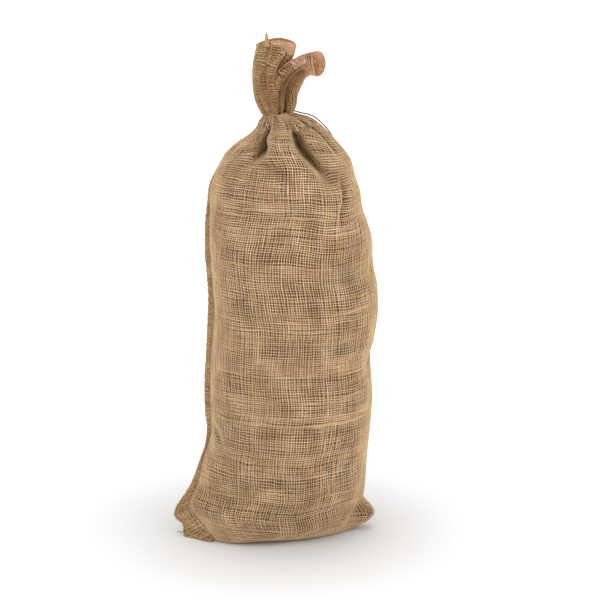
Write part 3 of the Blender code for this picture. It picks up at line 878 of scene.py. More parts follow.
def lattice_piece(name: str, points: Array, capped: bool = False, tones: Array | None = None) -> Piece:
    """Make a smooth skin through a lattice of points, from one grid whose rows close on themselves.

    Args:
        name: The piece's name.
        points: Rows by columns by x, y and z, in metres.
        capped: Whether the open ends get a face.
        tones: The tone of each point, or none for an even tone.

    Returns:
        The piece.
    """
    tones = np.zeros(points.shape[:2]) if tones is None else tones
    points = np.concatenate([points, points[:, :1]], axis=1)
    tones = np.concatenate([tones, tones[:, :1]], axis=1)
    rows, columns = points.shape[:2]
    cloth_u = running(np.linalg.norm(np.diff(points, axis=1), axis=2).mean(axis=0))
    cloth_v = running(np.linalg.norm(np.diff(points, axis=0), axis=2).mean(axis=1))
    mesh = grid_mesh(name, columns, rows)
    mesh.vertices.foreach_set("co", points.reshape(-1, 3).ravel())
    finish_mesh(mesh, tones.ravel(), np.stack(np.meshgrid(cloth_u, cloth_v), axis=-1).reshape(-1, 2))
    work = bmesh.new()
    work.from_mesh(mesh)
    bmesh.ops.remove_doubles(work, verts=work.verts, dist=SAME_PLACE)
    if capped:
        edges = [edge for edge in work.edges if edge.is_boundary]
        bmesh.ops.holes_fill(work, edges=edges, sides=0)
    bmesh.ops.recalc_face_normals(work, faces=work.faces)
    work.to_mesh(mesh)
    work.free()
    mesh.shade_smooth()
    return add_object(name, mesh)


def joined(name: str, pieces: Sequence[Piece]) -> Piece:
    """Join meshes that share a finish into one piece.

    Args:
        name: The new piece's name.
        pieces: The pieces, which are used up.

    Returns:
        The piece.
    """
    with bpy.context.temp_override(active_object=pieces[0], selected_editable_objects=list(pieces)):
        bpy.ops.object.join()
    pieces[0].name = name
    pieces[0].data.name = name
    return pieces[0]


@dataclass
class Weave:
    """Plain weave over a tube of cloth: its warps run along the tube and its wefts go round it.

    Attributes:
        surface: The cloth it lies on.
        warps: Number of warp yarns round the tube.
        warp: How the warps look and lie.
        weft: How the wefts look and lie.
        sway: How far the warps drift out of true.
        sag: How far the wefts do.
        fray: How far the loose warp ends run past the rim.
        ripple: How far single warps and wefts ripple.
        openness: How much narrower the yarns are where the cloth is open, as a share.
        fold_shade: How much darker the cloth is painted for each millimetre of depth in a fold: painted
            shade.
        fade: How much paler the cloth is at its far end.
        weft_pitch: Distance between the wefts.
        warp_drift: How far the warps have moved, by height.
        droops: Where the wefts hang low.
    """

    surface: ClothSurface
    warps: int
    warp: YarnSet
    weft: YarnSet
    sway: float
    sag: float
    fray: float = 0.0
    ripple: Pair = (0.4, 0.45)
    openness: float = 0.13
    fold_shade: float = 0.1
    fade: float = 0.0
    weft_pitch: float = WEFT_PITCH
    warp_drift: tuple[Drift, ...] = ()
    droops: dict[str, tuple[Droop, ...]] = field(default_factory=dict)

    def __post_init__(self) -> None:
        """Place the wefts along the tube, unevenly, and draw the waves that put the yarns out of true."""
        draw = np.random.default_rng(self.weft.seed)
        length = self.surface.length
        count = int(length / (self.weft_pitch * MM))
        steps = 1.0 + self.weft.wander * draw.normal(0.0, 0.4, count)
        for rate in PITCH_RATES:
            steps = steps + PITCH_SWING * np.sin(2.0 * math.pi * (rate * np.arange(count) + draw.uniform()))
        steps = np.clip(steps, *PITCH_LIMITS)
        self.crossings = np.cumsum(steps) * length / steps.sum() - self.weft_pitch * MM / 2.0
        round_seed, up_seed = self.warp.seed, self.weft.seed
        ripple_round, ripple_up = self.ripple
        self.waves_round = (
            Waves(round_seed + 1, self.sway * MM, turns=(1, 6), length=(0.08, 0.5), count=9),
            Waves(round_seed + 2, ripple_round * MM, turns=(20, 70), length=(0.03, 0.16), count=18),
        )
        self.waves_up = (
            Waves(up_seed + 1, self.sag * MM, turns=(1, 7), length=(0.10, 0.6), count=9),
            Waves(up_seed + 2, ripple_up * MM, turns=(5, 22), length=(0.012, 0.05), count=18),
        )
        self.open_waves = Waves(round_seed + 9, self.openness, turns=(2, 14), length=(0.03, 0.15), count=14)

    @property
    def girth(self) -> float:
        """How far it is round the cloth at the warps' true pitch, in metres."""
        return self.warps * WARP_PITCH * MM

    def drifted(self, across: Array, along: Array) -> tuple[Array, Array]:
        """Move true places of the weave to where the uneven cloth has them.

        Args:
            across: Share of the way round.
            along: Metres up the cloth.

        Returns:
            The same two, moved.
        """
        hold = np.clip(along / HELD_LENGTH, 0.0, 1.0)
        drift_round, ripple_round = [waves.at(across, along) for waves in self.waves_round]
        drift_up, ripple_up = [waves.at(across, along) for waves in self.waves_up]
        round_by = (drift_round + ripple_round) * hold / self.girth
        up_by = (drift_up + ripple_up) * hold
        level = self.surface.level(along)
        if self.warp_drift:
            round_by = round_by + read_table(self.warp_drift, level).right * MM / self.girth
        for droop in self.droops.values():
            low = read_table(droop, level)
            away = (across - low.share + 0.5) % 1.0 - 0.5
            width = np.where(away < 0.0, low.before, low.after)
            up_by = up_by - low.depth * MM * np.exp(-((away / width) ** 2))
        return across + round_by, along + up_by

    def warp_yarns(self, name: str) -> Piece:
        """Make the yarns that run along the tube."""
        draw = np.random.default_rng(self.warp.seed)
        count = self.warps
        ends = self.surface.length + draw.uniform(-0.4, 1.0, count) * self.fray * MM
        along = np.tile(self.crossings, (count, 1))
        along = np.concatenate([along, ends[:, None]], axis=1)
        places = (np.arange(count)[:, None] + 0.5) / count + np.zeros_like(along)
        over = np.where((np.arange(count)[:, None] + np.arange(along.shape[1])[None, :]) % 2 == 0, 1.0, -1.0)
        return self.yarns(name, draw, self.warp, places, along, over)

    def weft_yarns(self, name: str) -> Piece:
        """Make the yarns that go round the tube."""
        draw = np.random.default_rng(self.weft.seed + 5)
        count = len(self.crossings)
        across = (np.arange(self.warps + 1) + 0.5) / self.warps
        places = np.tile(across, (count, 1))
        along = np.repeat(self.crossings[:, None], self.warps + 1, axis=1)
        over = np.where((np.arange(self.warps + 1)[None, :] + np.arange(count)[:, None]) % 2 == 0, -1.0, 1.0)
        return self.yarns(name, draw, self.weft, places, along, over)

    def yarns(
        self,
        name: str,
        draw: np.random.Generator,
        kind: YarnSet,
        across: Array,
        along: Array,
        over: Array,
    ) -> Piece:
        """Lay ribbons along their middle lines, with slubs, and passing over and under.

        Args:
            name: The piece's name.
            draw: Source of the random numbers.
            kind: The look of the yarns.
            across: Share of the way round, by yarn and place.
            along: Metres up the cloth, by yarn and place.
            over: 1 where a yarn passes over, and -1 where it passes under.

        Returns:
            The piece.
        """
        count = across.shape[0]
        is_warp = kind is self.warp
        pitch = WARP_PITCH if is_warp else self.weft_pitch
        travel = along if is_warp else across * self.girth
        width, tone = self.slubbed(draw, kind, travel)
        width = width * (1.0 - self.open_waves.at(across, along))
        stray = kind.wander * draw.normal(0.0, 0.45, (count, 1)) * pitch * 0.4
        for wave, share in STRAY_WAVES:
            phase = draw.uniform(0.0, 2.0 * math.pi, (count, 1))
            wave = wave * draw.uniform(0.8, 1.25, (count, 1))
            stray = stray + share * pitch * np.sin(2.0 * math.pi * travel / wave + phase) * kind.wander
        half = width / 2.0 * MM
        points = []
        maps = []
        way = 1.0 if is_warp else -1.0
        for side, height in ((-way, -YARN_SKIRT), (0.0, YARN_RISE), (way, -YARN_SKIRT)):
            if is_warp:
                at_across, at_along = self.drifted(across + (stray * MM + side * half) / self.girth, along)
            else:
                at_across, at_along = self.drifted(across, along + stray * MM + side * half)
            place, hollow = self.surface.at(at_across, at_along, (over * YARN_CRIMP + height) * MM)
            points.append(place)
            cloth_across = (np.arange(count)[:, None] + 0.5 + side * MAP_HALF) * pitch * MM
            maps.append(np.stack([cloth_across + np.zeros_like(travel), travel], axis=-1))
        share = np.clip(along / self.surface.length, 0.0, 1.0)
        # The yarns are painted darker the deeper they lie in a fold: painted shade.
        tone = tone - np.minimum(hollow * self.fold_shade, MOST_FOLD_SHADE) + self.fade * share**2
        tones = np.repeat(tone[:, :, None], len(points), axis=2)
        return woven(name, np.stack(points, axis=2), tones, np.stack(maps, axis=2))

    def slubbed(self, draw: np.random.Generator, kind: YarnSet, travel: Array) -> tuple[Array, Array]:
        """Draw how thick and how pale yarns are along their length.

        Args:
            draw: Source of the random numbers.
            kind: The look of the yarns.
            travel: Metres along each yarn, by yarn and place.

        Returns:
            Their width in millimetres, and their tone.
        """
        each = (travel.shape[0], 1)
        thick = np.clip(draw.normal(0.0, 1.0, each), LEAST_DRAW, WIDEST_DRAW)
        pale = np.clip(draw.normal(0.0, 1.0, each), LEAST_DRAW, PALEST_DRAW)
        width = kind.width * (1.0 + kind.uneven * thick)
        tone = TONE_SPREAD * pale + np.zeros_like(travel)
        span = float(travel.max() - travel.min())
        for _ in range(kind.slubs):
            middle = draw.uniform(-0.2, 1.2, each) * span
            reach = draw.uniform(*SLUB_REACH, each)
            bump = np.exp(-(((travel - middle) / reach) ** 2)) * draw.choice((0.0, 1.0), each, p=SLUB_ODDS)
            width = width * (1.0 + kind.slub * bump)
            tone = tone + SLUB_TONE * bump
        for wave in WIDTH_WAVES:
            phase = draw.uniform(0.0, 2.0 * math.pi, each)
            swing = np.sin(2.0 * math.pi * travel / (wave * draw.uniform(0.7, 1.4, each)) + phase)
            width = width * (1.0 + WIDTH_SWING * swing)
            tone = tone + TONE_SWING * swing
        return width, tone


def tube_rings(path: Array, radius: Array | float, sides: int) -> Array:
    """Rings of a tube round a path, kept from twisting.

    Args:
        path: Points along the middle of the tube.
        radius: Its radius at each point, or everywhere.
        sides: Points round the tube.

    Returns:
        Rings by points by x, y and z.
    """
    path = np.asarray(path, dtype=float)
    ahead = unit(np.gradient(path, axis=0))
    side = np.cross(ahead[0], (0.0, 0.0, 1.0))
    if np.linalg.norm(side) < 0.1:
        side = np.cross(ahead[0], (0.0, 1.0, 0.0))
    sides_way = []
    for way in ahead:
        side = side - way * np.dot(side, way)
        side = side / np.linalg.norm(side)
        sides_way.append(side)
    sides_way = np.array(sides_way)
    third = np.cross(ahead, sides_way)
    angle = (2.0 * math.pi * np.arange(sides) / sides)[None, :, None]
    radius = np.broadcast_to(np.asarray(radius, dtype=float), (len(path),))[:, None, None]
    ring = sides_way[:, None, :] * np.cos(angle) + third[:, None, :] * np.sin(angle)
    return path[:, None, :] + radius * ring


def twisted_strands(name: str, path: Array, radius: float, pitch: float, strands: int, sides: int) -> Piece:
    """Make a plied twine: strands wound round each other along a path.

    Args:
        name: The piece's name.
        path: The middle of the twine, in metres, evenly spaced.
        radius: Radius of the whole twine, in metres.
        pitch: Length of one full turn, in metres.
        strands: Number of plies.
        sides: Points round each ply.

    Returns:
        The piece.
    """
    travel = travelled(path)
    frames = tube_rings(path, 1.0, 4)
    first = frames[:, 0] - path
    second = frames[:, 1] - path
    made = []
    for strand in range(strands):
        turn = 2.0 * math.pi * (travel / pitch + strand / strands)
        offset = first * np.cos(turn)[:, None] + second * np.sin(turn)[:, None]
        rings = tube_rings(path + offset * radius * PLY_PLACE, radius * PLY_SIZE, sides)
        made.append(lattice_piece(f"{name}_{strand}", rings, capped=True))
    return joined(name, made)


def smooth_route(points: Sequence[Sequence[float]], count: int) -> Array:
    """Evenly numbered points on a smooth curve through a given route, in metres."""
    keys = np.arange(len(points))
    return smooth_line(keys, np.array(points, dtype=float), np.linspace(0.0, len(points) - 1.0, count)) * MM


def fill_inputs(tree: bpy.types.NodeTree, node: Node, inputs: dict[str | int, object]) -> Node:
    """Give a node's inputs their values, or link them to other nodes' outputs.

    Args:
        tree: The tree that the node is in.
        node: The node.
        inputs: A value or an output socket for each input, by its name or number.

    Returns:
        The node.
    """
    for name, given in inputs.items():
        if isinstance(given, Socket):
            tree.links.new(given, node.inputs[name])
        else:
            node.inputs[name].default_value = given
    return node


class Grain(Enum):
    """What the fibres of a finish follow: the cloth's own map, or the object."""

    YARN = "cloth"
    OBJECT = "object"


@dataclass(frozen=True)
class FibreFinish:
    """A finish of raw plant fibre.

    Attributes:
        name: The material's name.
        dark: Colour of the shaded and weathered fibre.
        body: Main colour.
        light: Colour of the pale fibre.
        blush: Colour of the reddish patches.
        blush_share: How strong those patches are.
        roughness: Roughness of the fibre.
        bump: Height of the fibres, in metres.
        sheen: How much loose fibre there is to catch the light.
        gloss: How much the fibres shine.
        inside: How many times paler the back of the cloth is painted, by colour, as painted light inside the
            mouth, or none.
        along: How fast the fibre pattern changes along a yarn, per metre.
        across: How fast it changes across a yarn, per metre.
        grain: What the fibres follow.
    """

    name: str
    dark: Triple
    body: Triple
    light: Triple
    blush: Triple
    blush_share: float = 0.3
    roughness: float = 0.92
    bump: float = 0.00025
    sheen: float = 0.03
    gloss: float = 0.1
    inside: Triple | None = None
    along: float = 260.0
    across: float = 2600.0
    grain: Grain = Grain.YARN

    def material(self) -> bpy.types.Material:
        """The finish as a material, built once."""
        made = bpy.data.materials.get(self.name)
        if made is None:
            made = bpy.data.materials.new(self.name)
            made.use_nodes = True
            self.wire(made.node_tree)
        return made

    def wire(self, tree: bpy.types.ShaderNodeTree) -> None:
        """Lay out the finish's nodes.

        Args:
            tree: The material's tree, as new.
        """
        place = tree.nodes.new("ShaderNodeTexCoord").outputs["Object"]
        pattern = place
        if self.grain is Grain.YARN:
            cloth = tree.nodes.new("ShaderNodeUVMap")
            cloth.uv_map = CLOTH_MAP
            pattern = cloth.outputs["UV"]
        scaled = {"Vector": pattern, "Scale": (self.across, self.along, self.across)}
        mapping = fill_inputs(tree, tree.nodes.new("ShaderNodeMapping"), scaled)
        tone = tree.nodes.new("ShaderNodeAttribute")
        tone.attribute_name = TONE
        fibres = tree.nodes.new("ShaderNodeGroup")
        fibres.node_tree = fibre_group()
        sockets = {
            "Grain": mapping.outputs["Vector"],
            "Place": place,
            "Tone": tone.outputs["Fac"],
            "Dark": (*self.dark, 1.0),
            "Body": (*self.body, 1.0),
            "Light": (*self.light, 1.0),
            "Blush": (*self.blush, 1.0),
            "Blush Share": self.blush_share,
        }
        fill_inputs(tree, fibres, sockets)
        colour = fibres.outputs["Colour"]
        # The back faces are painted paler: painted light inside the mouth.
        if self.inside is not None:
            back = tree.nodes.new("ShaderNodeNewGeometry").outputs["Backfacing"]
            mix = tree.nodes.new("ShaderNodeMix")
            mix.data_type = "RGBA"
            mix.blend_type = "MULTIPLY"
            fill_inputs(tree, mix, {"Factor": back, "A": colour, "B": (*self.inside, 1.0)})
            colour = mix.outputs["Result"]
        raised = {"Distance": self.bump, "Height": fibres.outputs["Height"]}
        bump = fill_inputs(tree, tree.nodes.new("ShaderNodeBump"), raised)
        surface = {
            "Base Color": colour,
            "Metallic": 0.0,
            "Roughness": self.roughness,
            "Specular IOR Level": self.gloss,
            "Sheen Weight": self.sheen,
            "Sheen Roughness": 0.6,
            "Normal": bump.outputs["Normal"],
        }
        fill_inputs(tree, tree.nodes["Principled BSDF"], surface)


def fibre_group() -> bpy.types.ShaderNodeTree:
    """The shared effect of fibres, slubs and stained patches, built once."""
    group = bpy.data.node_groups.get(FIBRE_GROUP)
    if group is not None:
        return group
    group = bpy.data.node_groups.new(FIBRE_GROUP, "ShaderNodeTree")
    for kind, names in (
        ("Vector", ("Grain", "Place")),
        ("Float", ("Tone",)),
        ("Color", ("Dark", "Body", "Light", "Blush")),
        ("Float", ("Blush Share",)),
    ):
        for name in names:
            group.interface.new_socket(name=name, in_out="INPUT", socket_type=f"NodeSocket{kind}")
    group.interface.new_socket(name="Colour", in_out="OUTPUT", socket_type="NodeSocketColor")
    group.interface.new_socket(name="Height", in_out="OUTPUT", socket_type="NodeSocketFloat")
    given = group.nodes.new("NodeGroupInput").outputs

    def noise(vector: Socket, scale: float, detail: float) -> Socket:
        """A noise on a vector, as its value socket."""
        made = group.nodes.new("ShaderNodeTexNoise")
        return fill_inputs(group, made, {"Vector": vector, "Scale": scale, "Detail": detail}).outputs["Fac"]

    def fitted(value: Socket, given_range: Pair, wanted: Pair) -> Socket:
        """A value stretched from one range to another, and held inside it."""
        ends = dict(zip(("From Min", "From Max", "To Min", "To Max"), given_range + wanted))
        made = group.nodes.new("ShaderNodeMapRange")
        return fill_inputs(group, made, {"Value": value, **ends}).outputs["Result"]

    def worked_out(operation: str, first: Socket, second: Socket) -> Socket:
        """The sum or the product of two values."""
        made = group.nodes.new("ShaderNodeMath")
        made.operation = operation
        return fill_inputs(group, made, {0: first, 1: second}).outputs[0]

    def mixed(share: Socket, first: Socket, second: Socket) -> Socket:
        """Two colours mixed by a share."""
        made = group.nodes.new("ShaderNodeMix")
        made.data_type = "RGBA"
        return fill_inputs(group, made, {"Factor": share, "A": first, "B": second}).outputs["Result"]

    strands = noise(given["Grain"], 1.0, 3.0)
    patches = noise(given["Place"], PATCHES_PER_METRE, 3.0)
    stains = noise(given["Place"], STAINS_PER_METRE, 2.0)
    strand_shade = fitted(strands, NOISE_SPREAD, STRAND_SWING)
    shade = worked_out("ADD", strand_shade, fitted(patches, NOISE_SPREAD, PATCH_SWING))
    shade = worked_out("ADD", shade, fitted(given["Tone"], TONE_RANGE, TONE_REACH))
    light = mixed(fitted(shade, (0.0, 1.0), (0.0, 1.0)), given["Body"], given["Light"])
    colour = mixed(fitted(shade, (-1.0, 0.0), (1.0, 0.0)), light, given["Dark"])
    blush = worked_out("MULTIPLY", fitted(stains, STAIN_EDGE, (0.0, 1.0)), given["Blush Share"])
    colour = mixed(blush, colour, given["Blush"])
    fill_inputs(group, group.nodes.new("NodeGroupOutput"), {"Colour": colour, "Height": strands})
    return group


class Finish(Enum):
    """Every finish on the sack."""

    # The yarns that run up the cloth, and those that go round it.
    WARP = FibreFinish(
        "hessian warp", (0.20, 0.105, 0.042), (0.59, 0.40, 0.225), (0.88, 0.68, 0.45), (0.47, 0.28, 0.17),
    )
    WEFT = FibreFinish(
        "hessian weft", (0.19, 0.10, 0.039), (0.57, 0.385, 0.215), (0.87, 0.665, 0.435),
        (0.45, 0.265, 0.16),
    )
    # The yarns of the mouth, which are darker, with their backs painted paler as painted light inside the
    # mouth.
    MOUTH = FibreFinish(
        "hessian at the mouth", (0.13, 0.066, 0.024), (0.45, 0.28, 0.14), (0.76, 0.54, 0.33),
        (0.50, 0.25, 0.14), 0.4, inside=(1.9, 1.8, 1.9),
    )
    # What shows between the body's yarns.
    SHADE = FibreFinish(
        "shade in the weave", (0.015, 0.006, 0.002), (0.036, 0.015, 0.004), (0.09, 0.045, 0.015),
        (0.05, 0.02, 0.007), roughness=1.0, sheen=0.0, along=400.0, across=400.0, grain=Grain.OBJECT,
    )
    # The matted fibre that shows between the mouth's yarns, painted dark as the shade between them, with its
    # back painted paler as painted light inside the mouth; and a copy whose back is painted paler still, as
    # painted light inside the left lobe.
    PLY = FibreFinish(
        "matted fibre at the mouth", (0.04, 0.018, 0.005), (0.12, 0.06, 0.018), (0.26, 0.146, 0.058),
        (0.17, 0.078, 0.03), 0.5, sheen=0.0, inside=(4.5, 6.0, 10.8), along=420.0, across=420.0,
    )
    LIT_PLY = replace(PLY, name="mouth ply in painted light", inside=(8.0, 12.0, 28.0))
    # The overlocking thread, and the cloth under it.
    THREAD = FibreFinish(
        "overlock thread", (0.16, 0.09, 0.034), (0.42, 0.27, 0.13), (0.70, 0.50, 0.28),
        (0.42, 0.245, 0.135),
    )
    HEM = FibreFinish(
        "hessian under the thread", (0.08, 0.045, 0.019), (0.21, 0.122, 0.055), (0.38, 0.24, 0.12),
        (0.25, 0.14, 0.07), along=700.0, across=700.0, grain=Grain.OBJECT,
    )
    # The tie, and its free end, which is the same twine painted darker and greyer: painted shade.
    TWINE = FibreFinish(
        "jute twine", (0.20, 0.13, 0.07), (0.44, 0.30, 0.17), (0.70, 0.53, 0.34), (0.38, 0.24, 0.15), 0.2,
    )
    TWINE_END_IN_SHADE = FibreFinish(
        "jute twine in painted shade", (0.07, 0.055, 0.04), (0.16, 0.125, 0.09), (0.34, 0.27, 0.2),
        (0.16, 0.12, 0.08), 0.2,
    )


def dress(piece: Piece, finish: Finish, node: str = "sack") -> Piece:
    """Give a piece its finish and its body, and let it stand for a plain solid.

    Args:
        piece: The piece.
        finish: Its finish.
        node: The solid that it stands for.

    Returns:
        The piece.
    """
    piece.data.materials.clear()
    piece.data.materials.append(finish.value.material())
    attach(piece, ROOT)
    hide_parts(node)
    log.info("%s: %d faces", piece.name, len(piece.data.polygons))
    return piece


@dataclass
class Tie:
    """The twine round the neck, its knot, and its free end.

    Attributes:
        ply_turn: Length of one turn of the plies.
        plies: Number of plies.
        ply_sides: Points round each ply.
        ring_points: Points along the turn round the neck.
        ring_waver: How far that turn wavers up and down.
        knot_points: Points along the knot.
        knot_size: Size of the knot.
        knot_pull: How thick the twine is in the knot, as a share.
        knot_flat: How far the knot is pressed together, outward and upward, as shares.
        knot_out: How far the knot's middle lies outside the turn.
        free_end_points: Points along the free end.
    """

    ply_turn: float = 6.5
    plies: int = 2
    ply_sides: int = 8
    ring_points: int = 220
    ring_waver: float = 0.35
    knot_points: int = 140
    knot_size: float = 3.1
    knot_pull: float = 0.9
    knot_flat: Pair = (0.9, 0.85)
    knot_out: float = 1.8
    free_end_points: int = 120

    def ring(self) -> Array:
        """The middle line of the turn round the neck, in metres."""
        angle = np.radians(KNOT_ANGLE) + np.linspace(0.0, 2.0 * math.pi, self.ring_points)
        x = NECK_X + TIE_RADIUS * np.cos(angle)
        z = TIE_HEIGHT + self.ring_waver * np.sin(2.0 * angle + 0.6)
        return np.column_stack([x, TIE_RADIUS * np.sin(angle), z]) * MM

    def knot(self) -> Array:
        """A small overhand knot on the tie, as a closed trefoil line, in metres."""
        turn = np.linspace(0.0, 2.0 * math.pi, self.knot_points)
        size = self.knot_size / 3.0
        along = size * (np.sin(turn) + 2.0 * np.sin(2.0 * turn))
        up = size * (np.cos(turn) - 2.0 * np.cos(2.0 * turn))
        out = -size * self.knot_flat[0] * np.sin(3.0 * turn)
        angle = math.radians(KNOT_ANGLE)
        ahead = np.array([-math.sin(angle), math.cos(angle), 0.0])
        away = np.array([math.cos(angle), math.sin(angle), 0.0])
        middle = np.array([NECK_X, 0.0, TIE_HEIGHT]) + away * (TIE_RADIUS + self.knot_out)
        line = middle + along[:, None] * ahead + out[:, None] * away
        return (line + up[:, None] * np.array([0.0, 0.0, self.knot_flat[1]])) * MM

    def twine(self, name: str, path: Array, pull: float = 1.0) -> Piece:
        """Lay the twine along a path.

        Args:
            name: The piece's name.
            path: Its middle line, in metres.
            pull: How thick it is there, as a share.

        Returns:
            The piece.
        """
        radius = TWINE_DIAMETER / 2.0 * MM * pull
        return twisted_strands(name, path, radius, self.ply_turn * MM, self.plies, self.ply_sides)

    def build(self) -> None:
        """Make the tie and its knot, in place of the plain ring."""
        strands = [self.twine("tie_ring", self.ring()), self.twine("tie_knot", self.knot(), self.knot_pull)]
        dress(joined("tie_twine", strands), Finish.TWINE, "tie")

    def build_free_end(self) -> None:
        path = smooth_route(FREE_END_ROUTE, self.free_end_points)
        free_end = dress(self.twine("tie_free_end", path), Finish.TWINE_END_IN_SHADE, "tie_end")


@dataclass
class OverlockedSeam:
    """A raw edge of two plies, overlocked with thick thread: a hem strip and the loops round it.

    Attributes:
        name: The seam's name.
        body: The body it leaves.
        lips: Its route.
        thickness: Thickness of the two plies.
        belly: Where across the strip it is thickest, as shares of its root and its edge, and how much.
        full: How far in from its edge the strip has its whole thickness.
        sunk: How far the strip runs on inside the body.
        step: Distance between the strip's rings.
        flattenings: How often the strip's flat direction is evened out along it.
        warp: The yarns that run along the strip.
        weft: The yarns that go across it.
        warps: Number of yarns that run along it.
        weave_lift: How far the yarns stand off it.
        weave_points: Points round it that the yarns lie on.
        stitch: Distance between the loops.
        thread: Diameter of the thread.
        proud: How far the thread's middle stands off the edge and off the faces, in diameters.
        reach: How far in from the edge the loops bite.
        root_clear: How far the loops stay off the root, as a share of the width and at most.
        stray: How far a loop strays along the seam, over the edge and in from it.
        leans: How far the fronts of the two threads' loops lean along the seam, in stitches.
        loop_points: Points along each loop.
        thread_sides: Points round the thread.
        tone_swing: How much paler one end of a loop may be than another.
        seed: Seed of the first thread's unevenness.
    """

    name: str
    body: FilledBody
    lips: tuple[Lip, ...]
    thickness: float = 2.6
    belly: Triple = (0.45, 0.55, 1.1)
    full: float = 1.2
    sunk: float = 4.0
    step: float = 1.1
    flattenings: int = 6
    warp: YarnSet = YarnSet(61, WARP_WIDTH, 0.15, 0.35, 0.25, 1)
    weft: YarnSet = YarnSet(63, WEFT_WIDTH, 0.2, 0.45, 0.4, 1)
    warps: int = 14
    weave_lift: float = 0.4
    weave_points: int = 60
    stitch: float = 5.6
    thread: float = 2.0
    proud: Pair = (0.35, 0.3)
    reach: float = 8.5
    root_clear: Pair = (0.12, 1.5)
    stray: Triple = (2.4, 0.7, 0.9)
    leans: Pair = (0.55, -0.4)
    loop_points: int = 10
    thread_sides: int = 5
    tone_swing: float = 2.6
    seed: int = 5

    def rails(self) -> tuple[Array, Array, Array]:
        """The seam's root line, edge line and flat direction, evenly spaced, in millimetres."""
        roots = np.array([self.body.skin_point(lip.z, lip.angle) for lip in self.lips])
        edges = roots + np.array([(-lip.out, lip.back, -lip.drop) for lip in self.lips], dtype=float)
        travel = travelled((roots + edges) / 2.0)
        places = np.arange(0.0, travel[-1], self.step)
        root = smooth_line(travel, roots, places)
        edge = smooth_line(travel, edges, places)
        run = unit(np.gradient(root + edge, axis=0))
        flat = unit(np.cross(run, unit(edge - root)))
        for _ in range(self.flattenings):
            flat[1:-1] = unit(flat[:-2] + flat[1:-1] + flat[2:])
        return root, edge, flat

    def hem_rings(self, spare: float) -> Array:
        """Rings of the strip of cloth under the thread, in millimetres.

        Args:
            spare: How much thicker than the strip to make them, in millimetres.

        Returns:
            Rings by points by x, y and z.
        """
        root, edge, flat = self.rails()
        out = unit(edge - root)
        half = flat * (self.thickness / 2.0 + spare)
        sunk = root - out * self.sunk
        near = edge - out * self.full
        root_share, edge_share, fullness = self.belly
        middle = root * root_share + edge * edge_share
        sides = [sunk - half, root - half, middle - half * fullness, near - half, edge + out * spare]
        sides += [near + half, middle + half * fullness, root + half, sunk + half]
        return np.stack(sides, axis=1)

    def cloth(self) -> ClothSurface:
        """The strip's skin as a tube of cloth that yarns can lie on."""
        rings = self.hem_rings(self.weave_lift)
        rings = [even_fractions(np.vstack([ring, ring[:1]]), self.weave_points + 1)[:-1] for ring in rings]
        points = np.array(rings)[:, ::-1] * MM
        return ClothSurface(points, np.zeros(points.shape[:2]))

    def loops(self, seed: int, phase: float, lean: float) -> Piece:
        """Make one thread that winds round the edge of the strip.

        Args:
            seed: Seed of the loops' unevenness.
            phase: Where the winding starts, in turns.
            lean: How far the front of a loop leans along the seam, in stitches.

        Returns:
            The piece.
        """
        rails = self.rails()
        last = len(rails[0]) - 1
        turns = last * self.step / self.stitch
        draw = np.random.default_rng(seed)
        turn = np.linspace(0.0, turns, int(turns * self.loop_points)) + phase
        around = 2.0 * math.pi * turn
        ends = np.interp(turn, np.arange(int(turns) + 3), draw.uniform(-0.5, 0.5, int(turns) + 3))
        stray_along, stray_over, stray_in = self.stray
        place = (turn - phase) * self.stitch + lean * self.stitch * np.sin(around) + ends * stray_along
        place = np.clip(place / self.step, 0.0, last - 0.001)
        low = place.astype(int)
        share = (place - low)[:, None]
        roots, edges, flats = [rail[low] * (1.0 - share) + rail[low + 1] * share for rail in rails]
        width = np.linalg.norm(edges - roots, axis=1)
        over = width + self.thread * self.proud[0] + ends * stray_over
        clear = np.minimum(width * self.root_clear[0], self.root_clear[1])
        start = np.maximum(clear, width - self.reach) + ends * stray_in
        away = start + (over - start) * (0.5 + 0.5 * np.cos(around))
        lift = (self.thickness / 2.0 + self.thread * self.proud[1]) * np.sin(around)
        line = roots + unit(edges - roots) * away[:, None] + unit(flats) * lift[:, None]
        rings = tube_rings(line * MM, self.thread / 2.0 * MM, self.thread_sides)
        tone = np.repeat(self.tone_swing * ends[:, None], self.thread_sides, axis=1)
        return lattice_piece(f"{self.name}_thread_{seed}", rings, capped=True, tones=tone)

    def build(self) -> None:
        """Make the hem, the weave on it and its thread."""
        hem = lattice_piece(f"{self.name}_hem", self.hem_rings(0.0) * MM, capped=True)
        dress(hem, Finish.HEM)
        weave = Weave(self.cloth(), self.warps, self.warp, self.weft, sway=0.6, sag=0.4)
        yarns = [weave.warp_yarns(f"{self.name}_warps"), weave.weft_yarns(f"{self.name}_wefts")]
        dress(joined(f"{self.name}_weave", yarns), Finish.WEFT)
        threads = [self.loops(self.seed + i, 0.5 * i, lean) for i, lean in enumerate(self.leans)]
        dress(joined(f"{self.name}_overlock", threads), Finish.THREAD)


